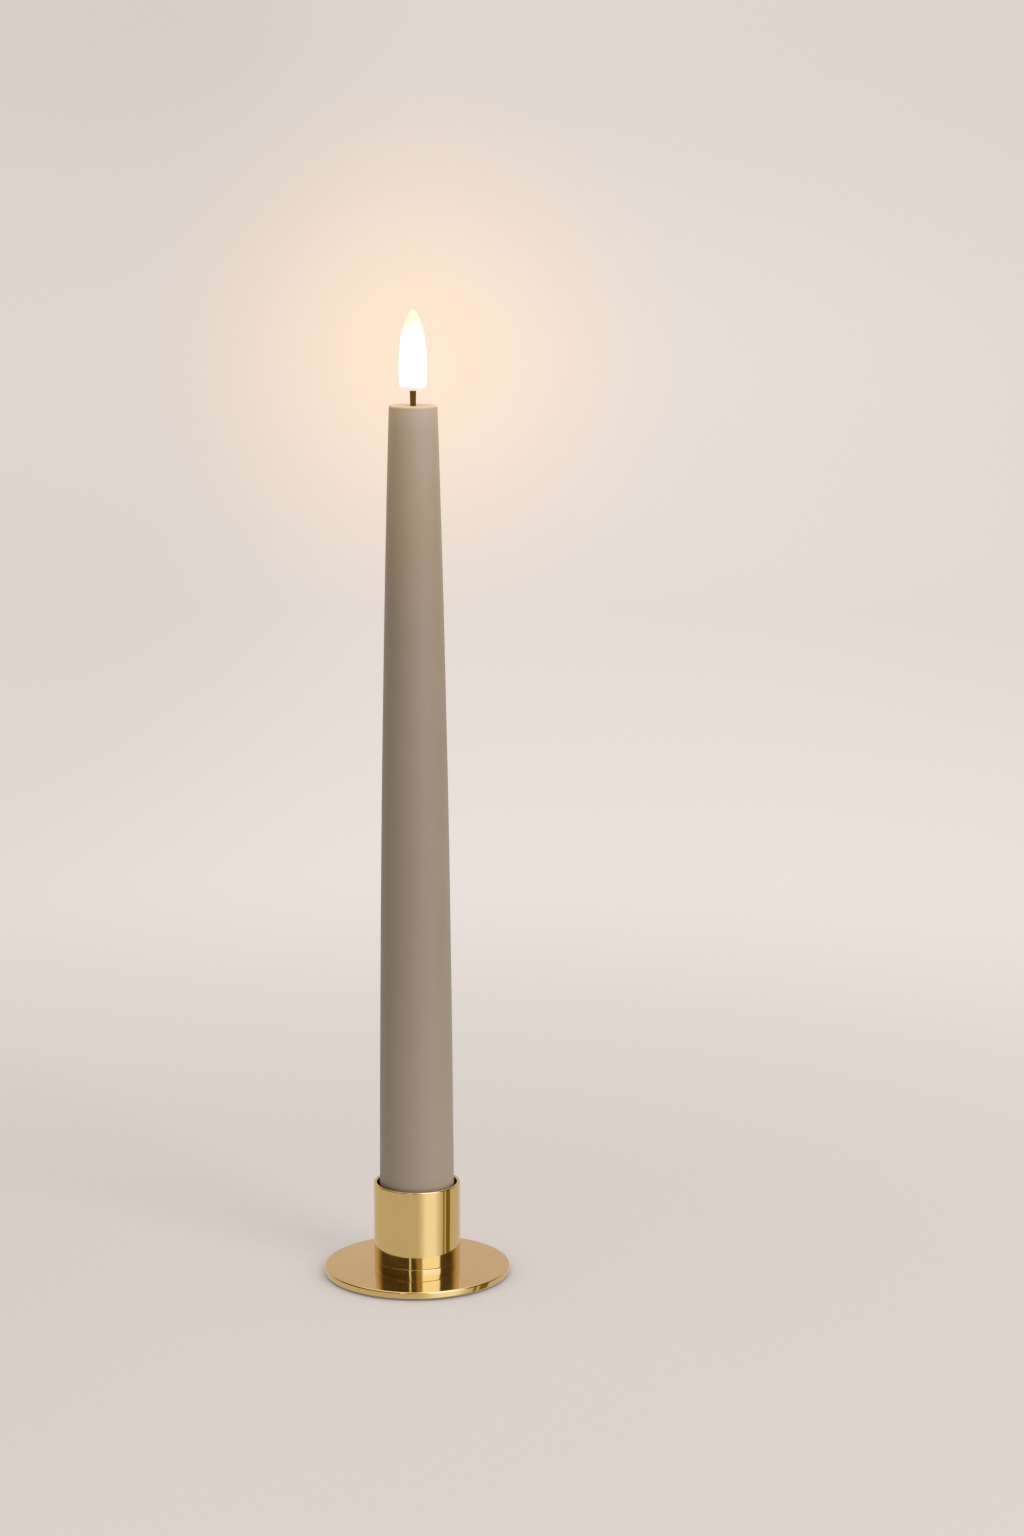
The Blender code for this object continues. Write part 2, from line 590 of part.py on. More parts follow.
def make_wiring(parts, wire_foot, tail_out):
    """The two wires up the tube, their sleeves, and the LED's leads down the wick."""
    routes = {
        "positive": (1, [(0, 0), (0.3, -0.9), (1.8, -2.0), (2.4, -0.8), (1.3, 1.0), (1.8, 0.5)]),
        "negative": (-1, [(0, tail_out / MM), (-0.5, 4.1), (-2.4, 2.6), (-3.0, 0.2),
                          (-2.3, -1.5), (-1.8, -0.6)]),
    }
    heights = steps(wire_foot + 0.5 * MM, SLEEVE_HEIGHT - 14 * MM, 6)
    for name, (side, bends) in routes.items():
        out = side * SLEEVE_OUT
        stops = [(x * MM, y * MM, height) for (x, y), height in zip(bends, heights)]
        stops += [(out, 0, SLEEVE_HEIGHT - 2 * MM), (out, 0, SLEEVE_HEIGHT + 3 * MM)]
        finish = "red_insulation" if side > 0 else "black_rubber"
        cable = wire(name + "_wire", smooth_route(stops, 30), WIRE_R)
        parts.add(name + "_wire", cable, finish, "candle_shell", (0, 0, 0))

        bore, skin = WIRE_R + 0.2 * MM, WIRE_R + 0.5 * MM
        sleeve = [(bore, 0), (skin, 0), (skin, SLEEVE_LENGTH), (bore, SLEEVE_LENGTH)]
        parts.add(
            name + "_sleeve", turned(name + "_sleeve", sleeve, 12), finish, "candle_shell",
            (out, 0, SLEEVE_HEIGHT),
        )

        near = side * LEAD_OUT
        legs = [
            (near, 0, FLAME_FOOT + 1.7 * MM), (near, 0, WICK_FOOT + 6 * MM),
            (near, 0, WICK_FOOT + 0.5 * MM), (out, 0, SLEEVE_HEIGHT + SLEEVE_LENGTH + 1 * MM),
            (out, 0, SLEEVE_HEIGHT + 5 * MM),
        ]
        lead = wire(name + "_lead", smooth_route(legs, 17), LEAD_R, 0)
        parts.add(name + "_lead", lead, "nickel", "candle_shell", (0, 0, 0))


def make_light(parts):
    """Socket, wick, LED and the moulded flame round it."""
    socket_r = tube_outside(SOCKET_FOOT) - TUBE_WALL - GAP
    seat_r = tube_outside(TUBE_TOP) - TUBE_WALL - GAP
    top = TUBE_TOP + GAP + SOCKET_LIP_T - SOCKET_FOOT
    bore = WICK_R + GAP
    seat = TUBE_TOP - SOCKET_FOOT
    socket = [
        (bore, 0), (socket_r, 0), (seat_r, seat), (seat_r, seat + GAP),
        (seat_r + TUBE_WALL, seat + GAP), (seat_r + TUBE_WALL, top), (bore, top),
    ]
    parts.add(
        "flame_socket", turned("flame_socket", socket, SMALL_ROUND), "white_plastic",
        "candle_shell", (0, 0, SOCKET_FOOT),
    )

    wick_bore = 0.62 * MM
    flare = 5 * MM  # the sleeve widens over its top end
    wick_length = FLAME_FOOT + 1.4 * MM - WICK_FOOT
    slim = 0.9 * WICK_R
    wick = [
        (wick_bore, 0), (slim, 0), (slim, wick_length - flare), (WICK_R, wick_length),
        (wick_bore, wick_length),
    ]
    parts.add(
        "wick", turned("wick", wick, FINE_ROUND), "dark_wick", "candle_shell", (0, 0, WICK_FOOT)
    )

    plug_r = FLAME_MOUTH_R - GAP
    plug = [(bore, 0), (plug_r, 0), (plug_r, 1.4 * MM), (bore, 1.4 * MM)]
    parts.add(
        "flame_plug", turned("flame_plug", plug, SMALL_ROUND), "white_plastic", "candle_shell",
        (0, 0, FLAME_FOOT + 0.3 * MM),
    )

    led_r, flange_r, flange_t, barrel = 1.5 * MM, 1.75 * MM, 0.6 * MM, 3.2 * MM
    dome = [
        (led_r * math.cos(angle), barrel + led_r * math.sin(angle))
        for angle in steps(0, math.pi / 2, 5)
    ]
    led = [(0, 0), (flange_r, 0), (flange_r, flange_t), (led_r, flange_t), *dome[:-1],
           (0, barrel + led_r)]
    parts.add(
        "led", turned("led", led, FINE_ROUND), "clear_epoxy", "candle_shell",
        (0, 0, FLAME_FOOT + 2.0 * MM),
    )

    corner_rises = [rise * MM for rise in (0, 0.2, 0.5, 1.0)]
    rises = corner_rises + steps(2 * MM, FLAME_HEIGHT - 3 * MM, 9)
    rises += [FLAME_HEIGHT - rise * MM for rise in (1.8, 0.9, 0.35)]
    outside = [(flame_radius(rise), rise) for rise in rises] + [(0, FLAME_HEIGHT)]
    hollow_top = FLAME_HEIGHT - 3.5 * MM
    inside = [
        (flame_radius(rise) - FLAME_WALL, rise) for rise in steps(hollow_top, FLAME_WALL, 8)
    ]
    flame = [*reversed(outside), (FLAME_MOUTH_R, 0.1 * MM), (FLAME_MOUTH_R, FLAME_WALL)]
    flame += [*reversed(inside), (0, hollow_top + 0.6 * MM)]
    parts.add(
        "flame", turned("flame", flame, SMALL_ROUND), "frosted_flame", "candle_shell",
        (0, 0, FLAME_FOOT),
    )


def main():
    for old in list(bpy.data.objects):
        bpy.data.objects.remove(old)
    parts = Assembly({
        "holder": (0, 0, 0),
        "battery_unit": (0, 0, CANDLE_FOOT),
        "switch_slide": (-SWITCH_TRAVEL / 2, 0, FLOOR_HEIGHT),
        "candle_shell": (0, 0, SHELL_FOOT),
    })
    make_holder(parts)
    make_foot(parts)
    make_switch(parts)
    make_spring(parts)
    make_cradle(parts)
    make_cells(parts)
    make_shell(parts)
    wire_foot, tail_out = make_contacts(parts)
    make_wiring(parts, wire_foot, tail_out)
    make_light(parts)


main()
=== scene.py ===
"""Looks of a battery-lit taper candle that stands in a turned brass holder.

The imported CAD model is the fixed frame. Every visible piece is built here at a finer grain from
the CAD node's own box, in metres, and rides on the node's body. The stage is a round pale sweep.
"""

import json
import math

import bmesh
import bpy
import numpy as np
from mathutils import Matrix, Vector, noise


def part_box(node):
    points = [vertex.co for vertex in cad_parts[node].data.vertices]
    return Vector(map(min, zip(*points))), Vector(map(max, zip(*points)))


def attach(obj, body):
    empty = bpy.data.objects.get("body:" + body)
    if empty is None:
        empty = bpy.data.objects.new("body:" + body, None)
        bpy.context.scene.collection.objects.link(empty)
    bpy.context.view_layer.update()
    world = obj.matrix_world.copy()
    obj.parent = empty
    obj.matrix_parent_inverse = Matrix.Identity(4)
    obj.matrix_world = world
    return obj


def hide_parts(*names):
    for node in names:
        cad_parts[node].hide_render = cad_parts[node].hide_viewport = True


MM = 0.001
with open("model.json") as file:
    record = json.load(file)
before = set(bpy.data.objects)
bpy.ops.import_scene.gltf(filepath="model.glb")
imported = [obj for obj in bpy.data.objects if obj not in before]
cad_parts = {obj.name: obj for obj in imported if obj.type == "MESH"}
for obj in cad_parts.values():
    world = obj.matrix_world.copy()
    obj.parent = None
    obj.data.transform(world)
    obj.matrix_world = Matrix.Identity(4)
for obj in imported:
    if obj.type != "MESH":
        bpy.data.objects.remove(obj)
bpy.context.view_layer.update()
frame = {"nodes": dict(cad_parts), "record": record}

SIDES = 192  # round the large turned pieces
FINE_SIDES = 256  # round the disc and the cup, whose rims are seen closest
SMALL_SIDES = 96
SHARP_EDGE = math.radians(40)
WELD = 2e-7  # points nearer than this are one point
GAP = 0.3 * MM  # between touching pieces
BRASS_EDGE = 0.45 * MM
SCREW_HOLE_R = 1.8 * MM
WAX_WALL = 1.6 * MM
CELL_BORE_R = 5.5 * MM
SMALL_SCREW_R = 1.1 * MM
TABLE_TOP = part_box("holder_disc")[1].z
WAX_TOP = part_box("wax_shell")[1].z
# CAD node, fine piece and finish of the two small board parts with end caps
END_CAPS = (
    ("board_capacitor", "chip_capacitor", "ceramic_chip"),
    ("board_resistor", "chip_resistor", "black_plastic"),
)


# ---------------------------------------------------------------- shader helpers


class Shader:
    """A material whose nodes are added by name; a socket given as a value is linked."""

    def __init__(self, name):
        self.material = bpy.data.materials.new(name)
        self.material.use_nodes = True
        self.tree = self.material.node_tree
        self.tree.nodes.clear()
        self.output = self.tree.nodes.new("ShaderNodeOutputMaterial")

    def add(self, kind, setup=None, **inputs):
        node = self.tree.nodes.new("ShaderNode" + kind)
        for key, value in (setup or {}).items():
            setattr(node, key, value)
        for key, value in inputs.items():
            self.feed(node.inputs[key.replace("_", " ")], value)
        return node

    def feed(self, socket, value):
        if isinstance(value, bpy.types.NodeSocket):
            self.tree.links.new(value, socket)
        elif isinstance(value, tuple) and len(value) == 3 and socket.type == "RGBA":
            socket.default_value = (*value, 1.0)
        else:
            socket.default_value = value

    def math(self, operation, first, second=0.0, third=None):
        node = self.add("Math", {"operation": operation})
        self.feed(node.inputs[0], first)
        self.feed(node.inputs[1], second)
        if third is not None:
            self.feed(node.inputs[2], third)
        return node.outputs[0]

    def spread(self, value, low, high, to_low=0.0, to_high=1.0, smooth=True):
        """Map a value from one range to another, clamped."""
        kind = "SMOOTHSTEP" if smooth else "LINEAR"
        node = self.add("MapRange", {"interpolation_type": kind}, Value=value)
        for key, number in (("From Min", low), ("From Max", high),
                            ("To Min", to_low), ("To Max", to_high)):
            self.feed(node.inputs[key], number)
        return node.outputs["Result"]

    def blend(self, share, first, second):
        """Mix two colours."""
        node = self.add("Mix", {"data_type": "RGBA"})
        self.feed(node.inputs["Factor"], share)
        self.feed(node.inputs[6], first)
        self.feed(node.inputs[7], second)
        return node.outputs[2]

    def place(self):
        """The point's place in the object's own frame, which is the CAD frame."""
        return self.add("TexCoord").outputs["Object"]

    def axes(self, place):
        return self.add("SeparateXYZ", Vector=place).outputs

    def reach(self, x, y):
        """Distance from an upright axis."""
        squares = self.math("ADD", self.math("MULTIPLY", x, x), self.math("MULTIPLY", y, y))
        return self.math("SQRT", squares)

    def grain(self, place, scale, detail=3.0, roughness=0.5, distortion=0.0):
        node = self.add("TexNoise", Vector=place, Scale=scale, Detail=detail,
                        Roughness=roughness, Distortion=distortion)
        return node.outputs["Fac"]

    def bump(self, height, depth, strength=1.0, normal=None):
        node = self.add("Bump", Height=height, Distance=depth, Strength=strength)
        if normal is not None:
            self.feed(node.inputs["Normal"], normal)
        return node.outputs["Normal"]

    def finish(self, surface):
        self.feed(self.output.inputs["Surface"], surface)
        return self.material


def turned_marks(s, place):
    """Fine concentric tool marks: noise that only changes with radius and height."""
    x, y, z = s.axes(place)
    line = s.add("CombineXYZ", X=s.reach(x, y), Y=s.math("MULTIPLY", x, 0.02), Z=z)
    return s.grain(line.outputs[0], 9000.0, 2.0, 0.6)


def polished_brass():
    """Polished, turned brass: a mirror with a little round brushing in it and faint smudges."""
    polish, brushed_rough, brushed_share = (0.025, 0.075), 0.30, 0.10
    s = Shader("polished_brass")
    place = s.place()
    marks = turned_marks(s, place)
    cloud = s.grain(place, 55.0, 4.0, 0.6)
    smudge = s.grain(place, 160.0, 5.0, 0.65, 0.4)
    colour = s.blend(cloud, (0.80, 0.565, 0.220), (0.86, 0.625, 0.265))
    colour = s.blend(s.spread(smudge, 0.60, 0.80, 0.0, 0.08), colour, (0.66, 0.42, 0.16))
    rough = s.spread(smudge, 0.35, 0.75, *polish)
    normal = s.bump(marks, 0.002 * MM, 0.25)
    mirror = s.add("BsdfPrincipled", Base_Color=colour, Metallic=1.0, Roughness=rough,
                   Normal=normal)
    tangent = s.add("Tangent", {"direction_type": "RADIAL", "axis": "Z"})
    brushed = s.add("BsdfPrincipled", Base_Color=colour, Metallic=1.0, Roughness=brushed_rough,
                    Anisotropic=0.8, Anisotropic_Rotation=0.25, Normal=normal,
                    Tangent=tangent.outputs[0])
    mixed = s.add("MixShader", Fac=brushed_share)
    s.feed(mixed.inputs[1], mirror.outputs[0])
    s.feed(mixed.inputs[2], brushed.outputs[0])
    return s.finish(mixed.outputs[0])


def taupe_wax():
    """Dyed wax: mottled, dipped in long ripples, a little see-through; painted flame light on its
    upper part and top rim, a painted warm glow at its top edge, painted bounce light from the brass
    near its foot.
    """
    dark, pale, fleck = (0.258, 0.211, 0.155), (0.290, 0.239, 0.178), (0.35, 0.295, 0.235)
    # painted flame light on the upper wax and top rim, and painted bounce light from the brass near
    # the foot
    painted_flame_light, painted_rim_light, painted_brass_bounce = (0.276, 0.258, 0.228), (0.44, 0.40, 0.35), (0.36, 0.30, 0.232)
    s = Shader("taupe_wax")
    place = s.place()
    mottle = s.grain(place, 70.0, 5.0, 0.6, 0.3)
    speck = s.grain(place, 900.0, 3.0, 0.6)
    stretched = s.add("Mapping", Vector=place, Scale=(1.0, 1.0, 0.12))
    dip = s.grain(stretched.outputs[0], 120.0, 3.0, 0.5)
    colour = s.blend(mottle, dark, pale)
    colour = s.blend(s.spread(speck, 0.62, 0.78, 0.0, 0.25), colour, fleck)
    z = s.axes(place)[2]
    # painted flame light: the upper wax turns paler towards the flame, and the top rim paler still
    lit = s.spread(z, WAX_TOP - 42 * MM, WAX_TOP - 4 * MM)
    colour = s.blend(lit, colour, painted_flame_light)
    colour = s.blend(s.spread(z, WAX_TOP - 8 * MM, WAX_TOP, 0.0, 0.30), colour, painted_rim_light)
    # painted bounce light: the wax turns paler towards its foot, as if lit by the brass
    colour = s.blend(s.spread(z, 0.10, 0.03, 0.0, 0.30), colour, painted_brass_bounce)
    # painted glow: the top edge of the wax emits a little warm light
    painted_edge_glow = s.spread(z, WAX_TOP - 0.9 * MM, WAX_TOP - 0.1 * MM, 0.0, 0.22)
    rough = s.spread(mottle, 0.3, 0.7, 0.42, 0.56)
    ripple = s.math("ADD", s.math("MULTIPLY", mottle, 0.7), s.math("MULTIPLY", dip, 0.5))
    normal = s.bump(ripple, 0.10 * MM, 0.35)
    normal = s.bump(speck, 0.010 * MM, 0.5, normal)
    wax = s.add("BsdfPrincipled", {"subsurface_method": "RANDOM_WALK"}, Base_Color=colour,
                Roughness=rough, Subsurface_Weight=0.35, Subsurface_Scale=1.2 * MM,
                Subsurface_Radius=(1.0, 0.65, 0.40), Normal=normal,
                Emission_Color=(1.0, 0.74, 0.36), Emission_Strength=painted_edge_glow)
    s.feed(wax.inputs["Specular IOR Level"], 0.42)
    return s.finish(wax.outputs[0])


def lit_flame():
    """Frosted shell, lit by the LED at its foot: white body, cream tip, bluish foot."""
    tip, body_white, foot_blue = (0.90, 1.00, 0.70), (1.0, 0.97, 0.90), (0.80, 0.90, 0.98)
    dim, bright = 0.66, 1.5
    s = Shader("lit_flame")
    place = s.place()
    low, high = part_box("flame")
    z = s.axes(place)[2]
    share = s.math("DIVIDE", s.math("SUBTRACT", z, low.z), high.z - low.z)
    foot = s.spread(share, 0.0, 0.17)
    crown = s.spread(share, 1.0, 0.60)
    body = s.math("MULTIPLY", foot, s.math("MULTIPLY", crown, crown))
    colour = s.blend(crown, tip, body_white)
    colour = s.blend(foot, foot_blue, colour)
    frost = s.grain(place, 900.0, 3.0)
    power = s.math("MULTIPLY", s.spread(body, 0.0, 1.0, dim, bright),
                   s.spread(frost, 0.2, 0.8, 0.94, 1.06))
    shell = s.add("BsdfPrincipled", Base_Color=(0.30, 0.28, 0.24), Roughness=0.45,
                  Normal=s.bump(frost, 0.02 * MM, 0.4), Emission_Color=colour,
                  Emission_Strength=power)
    return s.finish(shell.outputs[0])


def dark_wick():
    """Waxed black yarn: hair-fine fibres and charred patches, nearly without gloss."""
    s = Shader("dark_wick")
    place = s.place()
    fibre = s.add("Mapping", Vector=place, Scale=(1.0, 1.0, 0.25))
    hair = s.grain(fibre.outputs[0], 6000.0, 4.0, 0.7)
    char = s.grain(place, 900.0, 3.0)
    colour = s.blend(hair, (0.003, 0.003, 0.002), (0.022, 0.018, 0.013))
    colour = s.blend(s.spread(char, 0.45, 0.75, 0.0, 0.5), colour, (0.002, 0.002, 0.002))
    normal = s.bump(hair, 0.05 * MM, 0.8)
    cord = s.add("BsdfPrincipled", Base_Color=colour, Roughness=0.9, Normal=normal)
    s.feed(cord.inputs["Specular IOR Level"], 0.12)
    return s.finish(cord.outputs[0])


def moulded(name, colour, roughness):
    """Moulded plastic: fine spark texture and a slightly uneven shade."""
    grain_depth, shade = 0.012 * MM, 0.90
    s = Shader(name)
    place = s.place()
    spark = s.grain(place, 2600.0, 3.0, 0.6)
    flow = s.grain(place, 90.0, 3.0, 0.5, 0.5)
    dull = tuple(channel * shade for channel in colour)
    base = s.blend(flow, dull, colour)
    rough = s.spread(spark, 0.3, 0.7, roughness - 0.06, roughness + 0.08)
    shell = s.add("BsdfPrincipled", Base_Color=base, Roughness=rough,
                  Normal=s.bump(spark, grain_depth, 0.6))
    return s.finish(shell.outputs[0])


def soft_black(name, colour, roughness, pores, depth):
    """Rubber or foam: dark, matt and finely pored."""
    s = Shader(name)
    place = s.place()
    cells = s.add("TexVoronoi", Vector=place, Scale=pores).outputs["Distance"]
    dust = s.grain(place, 350.0, 4.0, 0.7)
    base = s.blend(s.spread(dust, 0.55, 0.85, 0.0, 0.5), colour,
                   tuple(3.0 * channel for channel in colour))
    skin = s.add("BsdfPrincipled", Base_Color=base, Roughness=roughness,
                 Normal=s.bump(cells, depth * MM, 0.7))
    return s.finish(skin.outputs[0])


def plated(name, colour, roughness):
    """Nickel or zinc plate: rolled grain, small stains."""
    s = Shader(name)
    place = s.place()
    roll = s.add("Mapping", Vector=place, Scale=(1.0, 1.0, 0.05))
    lines = s.grain(roll.outputs[0], 5000.0, 3.0, 0.6)
    stain = s.grain(place, 300.0, 4.0, 0.6)
    base = s.blend(s.spread(stain, 0.5, 0.8, 0.0, 0.4), colour,
                   tuple(0.6 * channel for channel in colour))
    rough = s.spread(lines, 0.3, 0.7, roughness - 0.07, roughness + 0.10)
    metal = s.add("BsdfPrincipled", Base_Color=base, Metallic=1.0, Roughness=rough,
                  Normal=s.bump(lines, 0.006 * MM, 0.5))
    return s.finish(metal.outputs[0])


def battery_sleeve():
    """Plain printed sleeve: slate with a pale ring under a green shoulder, and bare steel ends."""
    ring_foot, ring_top, end_r = 29.0 * MM, 30.2 * MM, 4.4 * MM
    pale, steel_grey = (0.62, 0.62, 0.58), (0.60, 0.59, 0.56)
    film_metal, steel_metal = 0.35, 0.65
    s = Shader("battery_sleeve")
    place = s.place()
    x, y, z = s.axes(place)
    low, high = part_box("lower_battery")
    middle = (low.y + high.y) / 2
    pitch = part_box("upper_battery")[0].z - low.z
    along = s.math("MODULO", s.math("SUBTRACT", z, low.z), pitch)
    ink = s.grain(place, 700.0, 4.0)
    slate = s.blend(ink, (0.045, 0.060, 0.075), (0.060, 0.078, 0.095))
    green = s.blend(ink, (0.10, 0.30, 0.16), (0.13, 0.36, 0.20))
    upper = s.math("GREATER_THAN", along, ring_top)
    ring = s.math("MULTIPLY", s.math("GREATER_THAN", along, ring_foot),
                  s.math("SUBTRACT", 1.0, upper))
    colour = s.blend(upper, slate, green)
    colour = s.blend(ring, colour, pale)
    radius = s.reach(x, s.math("SUBTRACT", y, middle))
    steel = s.math("LESS_THAN", radius, end_r)
    colour = s.blend(steel, colour, steel_grey)
    metal = s.math("ADD", film_metal, s.math("MULTIPLY", steel, steel_metal))
    film = s.add("BsdfPrincipled", Base_Color=colour, Metallic=metal, Roughness=0.30,
                 Coat_Weight=0.5, Coat_Roughness=0.12, Normal=s.bump(ink, 0.01 * MM, 0.4))
    return s.finish(film.outputs[0])


def green_board():
    """Solder mask over copper tracks and a glass weave."""
    threads = 9000.0
    s = Shader("green_board")
    place = s.place()
    x, y, _ = s.axes(place)
    weave = s.math("ADD", s.math("SINE", s.math("MULTIPLY", x, threads)),
                   s.math("SINE", s.math("MULTIPLY", y, threads)))
    track = s.add("TexVoronoi", {"distance": "MANHATTAN"}, Vector=place, Scale=420.0)
    copper = s.spread(track.outputs["Distance"], 0.42, 0.46, 0.0, 1.0)
    colour = s.blend(copper, (0.010, 0.095, 0.035), (0.020, 0.190, 0.070))
    mask = s.add("BsdfPrincipled", Base_Color=colour, Roughness=0.28, Coat_Weight=0.4,
                 Normal=s.bump(weave, 0.008 * MM, 0.4))
    return s.finish(mask.outputs[0])


def clear_epoxy():
    """The lit LED's clear body, slightly streaked."""
    s = Shader("clear_epoxy")
    place = s.place()
    swirl = s.grain(place, 900.0, 2.0)
    colour = s.blend(swirl, (0.95, 0.85, 0.55), (1.0, 0.94, 0.72))
    lens = s.add("BsdfPrincipled", Base_Color=colour, Roughness=0.12, IOR=1.54,
                 Transmission_Weight=0.6, Emission_Color=(1.0, 0.80, 0.45),
                 Emission_Strength=6.0, Normal=s.bump(swirl, 0.01 * MM, 0.3))
    return s.finish(lens.outputs[0])


# ---------------------------------------------------------------- mesh helpers


def rounded(corners, arc_points=5):
    """Turn (radius, height, fillet) corners into outline points, each fillet as an arc."""
    outline = []
    count = len(corners)
    for i, (r, h, fillet) in enumerate(corners):
        here = Vector((r, h))
        before = Vector(corners[i - 1][:2]) - here
        after = Vector(corners[(i + 1) % count][:2]) - here
        if fillet <= 0 or before.length < 1e-9 or after.length < 1e-9:
            outline.append((r, h))
            continue
        before.normalize()
        after.normalize()
        half = math.acos(max(-1.0, min(1.0, before.dot(after)))) / 2
        back = fillet / math.tan(half)
        start, end = here + before * back, here + after * back
        centre = here + (before + after).normalized() * (fillet / math.sin(half))
        for k in range(arc_points + 1):
            chord = start.lerp(end, k / arc_points) - centre
            outline.append(tuple(centre + chord.normalized() * fillet))
    return outline


def shaded(bm, name, sharp=SHARP_EDGE):
    """A welded mesh, its faces outwards, smooth except at sharp edges."""
    bmesh.ops.remove_doubles(bm, verts=bm.verts, dist=WELD)
    bmesh.ops.recalc_face_normals(bm, faces=bm.faces)
    mesh = bpy.data.meshes.new(name)
    bm.to_mesh(mesh)
    bm.free()
    mesh.shade_smooth()
    mesh.set_sharp_from_angle(angle=sharp)
    return mesh


def as_piece(name, data, material):
    piece = bpy.data.objects.new(name, data)
    bpy.context.scene.collection.objects.link(piece)
    if not data.materials:
        data.materials.append(material)
    return piece


def turned(name, outline, material, sides=SIDES, at=(0.0, 0.0)):
    """A solid of revolution about an upright axis; the outline is a loop, or ends on the axis."""
    bm = bmesh.new()
    points = [bm.verts.new((radius, 0, height)) for radius, height in outline]
    lines = [bm.edges.new(pair) for pair in zip(points, points[1:])]
    if outline[0][0] > 0:
        lines.append(bm.edges.new((points[-1], points[0])))
    bmesh.ops.spin(bm, geom=points + lines, cent=(0, 0, 0), axis=(0, 0, 1),
                   angle=2 * math.pi, steps=sides, use_merge=True)
    bmesh.ops.translate(bm, verts=bm.verts, vec=(*at, 0.0))
    return as_piece(name, shaded(bm, name), material)


def tool(shape, at=(0.0, 0.0, 0.0)):
    """A hidden cutter or joiner made of a bmesh."""
    mesh = bpy.data.meshes.new("tool")
    shape.to_mesh(mesh)
    shape.free()
    helper = bpy.data.objects.new("tool", mesh)
    helper.location = at
    bpy.context.scene.collection.objects.link(helper)
    return helper


def block(size, edge=0.0):
    """A box centred in X and Y that stands on its origin, upright edges rounded."""
    shape = bmesh.new()
    bmesh.ops.create_cube(shape, size=1.0)
    for vert in shape.verts:
        vert.co = Vector((vert.co.x * size[0], vert.co.y * size[1], (vert.co.z + 0.5) * size[2]))
    if edge:
        upright = [e for e in shape.edges if abs(e.verts[0].co.z - e.verts[1].co.z) > size[2] / 2]
        bmesh.ops.bevel(shape, geom=upright, offset=edge, segments=6, affect="EDGES", profile=0.5)
    return shape


def drum(radius, length, sides=48):
    """A round bar that stands on its origin."""
    shape = bmesh.new()
    bmesh.ops.create_cone(shape, cap_ends=True, segments=sides, radius1=radius, radius2=radius,
                          depth=length)
    bmesh.ops.translate(shape, verts=shape.verts, vec=(0, 0, length / 2))
    return shape


def worked(piece, *steps):
    """Join or cut the tools for good, then drop them."""
    for operation, helper in steps:
        modifier = piece.modifiers.new("step", "BOOLEAN")
        modifier.operation = operation
        modifier.solver = "EXACT"
        modifier.object = helper
    graph = bpy.context.evaluated_depsgraph_get()
    mesh = bpy.data.meshes.new_from_object(piece.evaluated_get(graph))
    piece.modifiers.clear()
    piece.data = mesh
    for _, helper in steps:
        bpy.data.objects.remove(helper)
    mesh.shade_smooth()
    mesh.set_sharp_from_angle(angle=SHARP_EDGE)
    return piece


def wound(name, path, radius, material, sides=12):
    """A round wire with closed, slightly rounded ends along a path of points."""
    bm = bmesh.new()
    rings = []
    for i, point in enumerate(path):
        along = (path[min(i + 1, len(path) - 1)] - path[max(i - 1, 0)]).normalized()
        out = along.cross(Vector((0, 0, 1))).normalized()
        up = out.cross(along)
        size = 0.7 * radius if i in (0, len(path) - 1) else radius
        turns = [2 * math.pi * k / sides for k in range(sides)]
        rings.append([bm.verts.new(point + size * (math.cos(a) * out + math.sin(a) * up))
                      for a in turns])
    for a, b in zip(rings, rings[1:]):
        for k in range(sides):
            bm.faces.new((a[k], a[(k + 1) % sides], b[(k + 1) % sides], b[k]))
    bm.faces.new(rings[0])
    bm.faces.new(rings[-1])
    return as_piece(name, shaded(bm, name), material)


def stands_for(piece, body, slot, *nodes):
    """The piece rides on a body in place of CAD nodes; its slot is not used."""
    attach(piece, body)
    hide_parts(*nodes)
    return piece


# ---------------------------------------------------------------- pieces


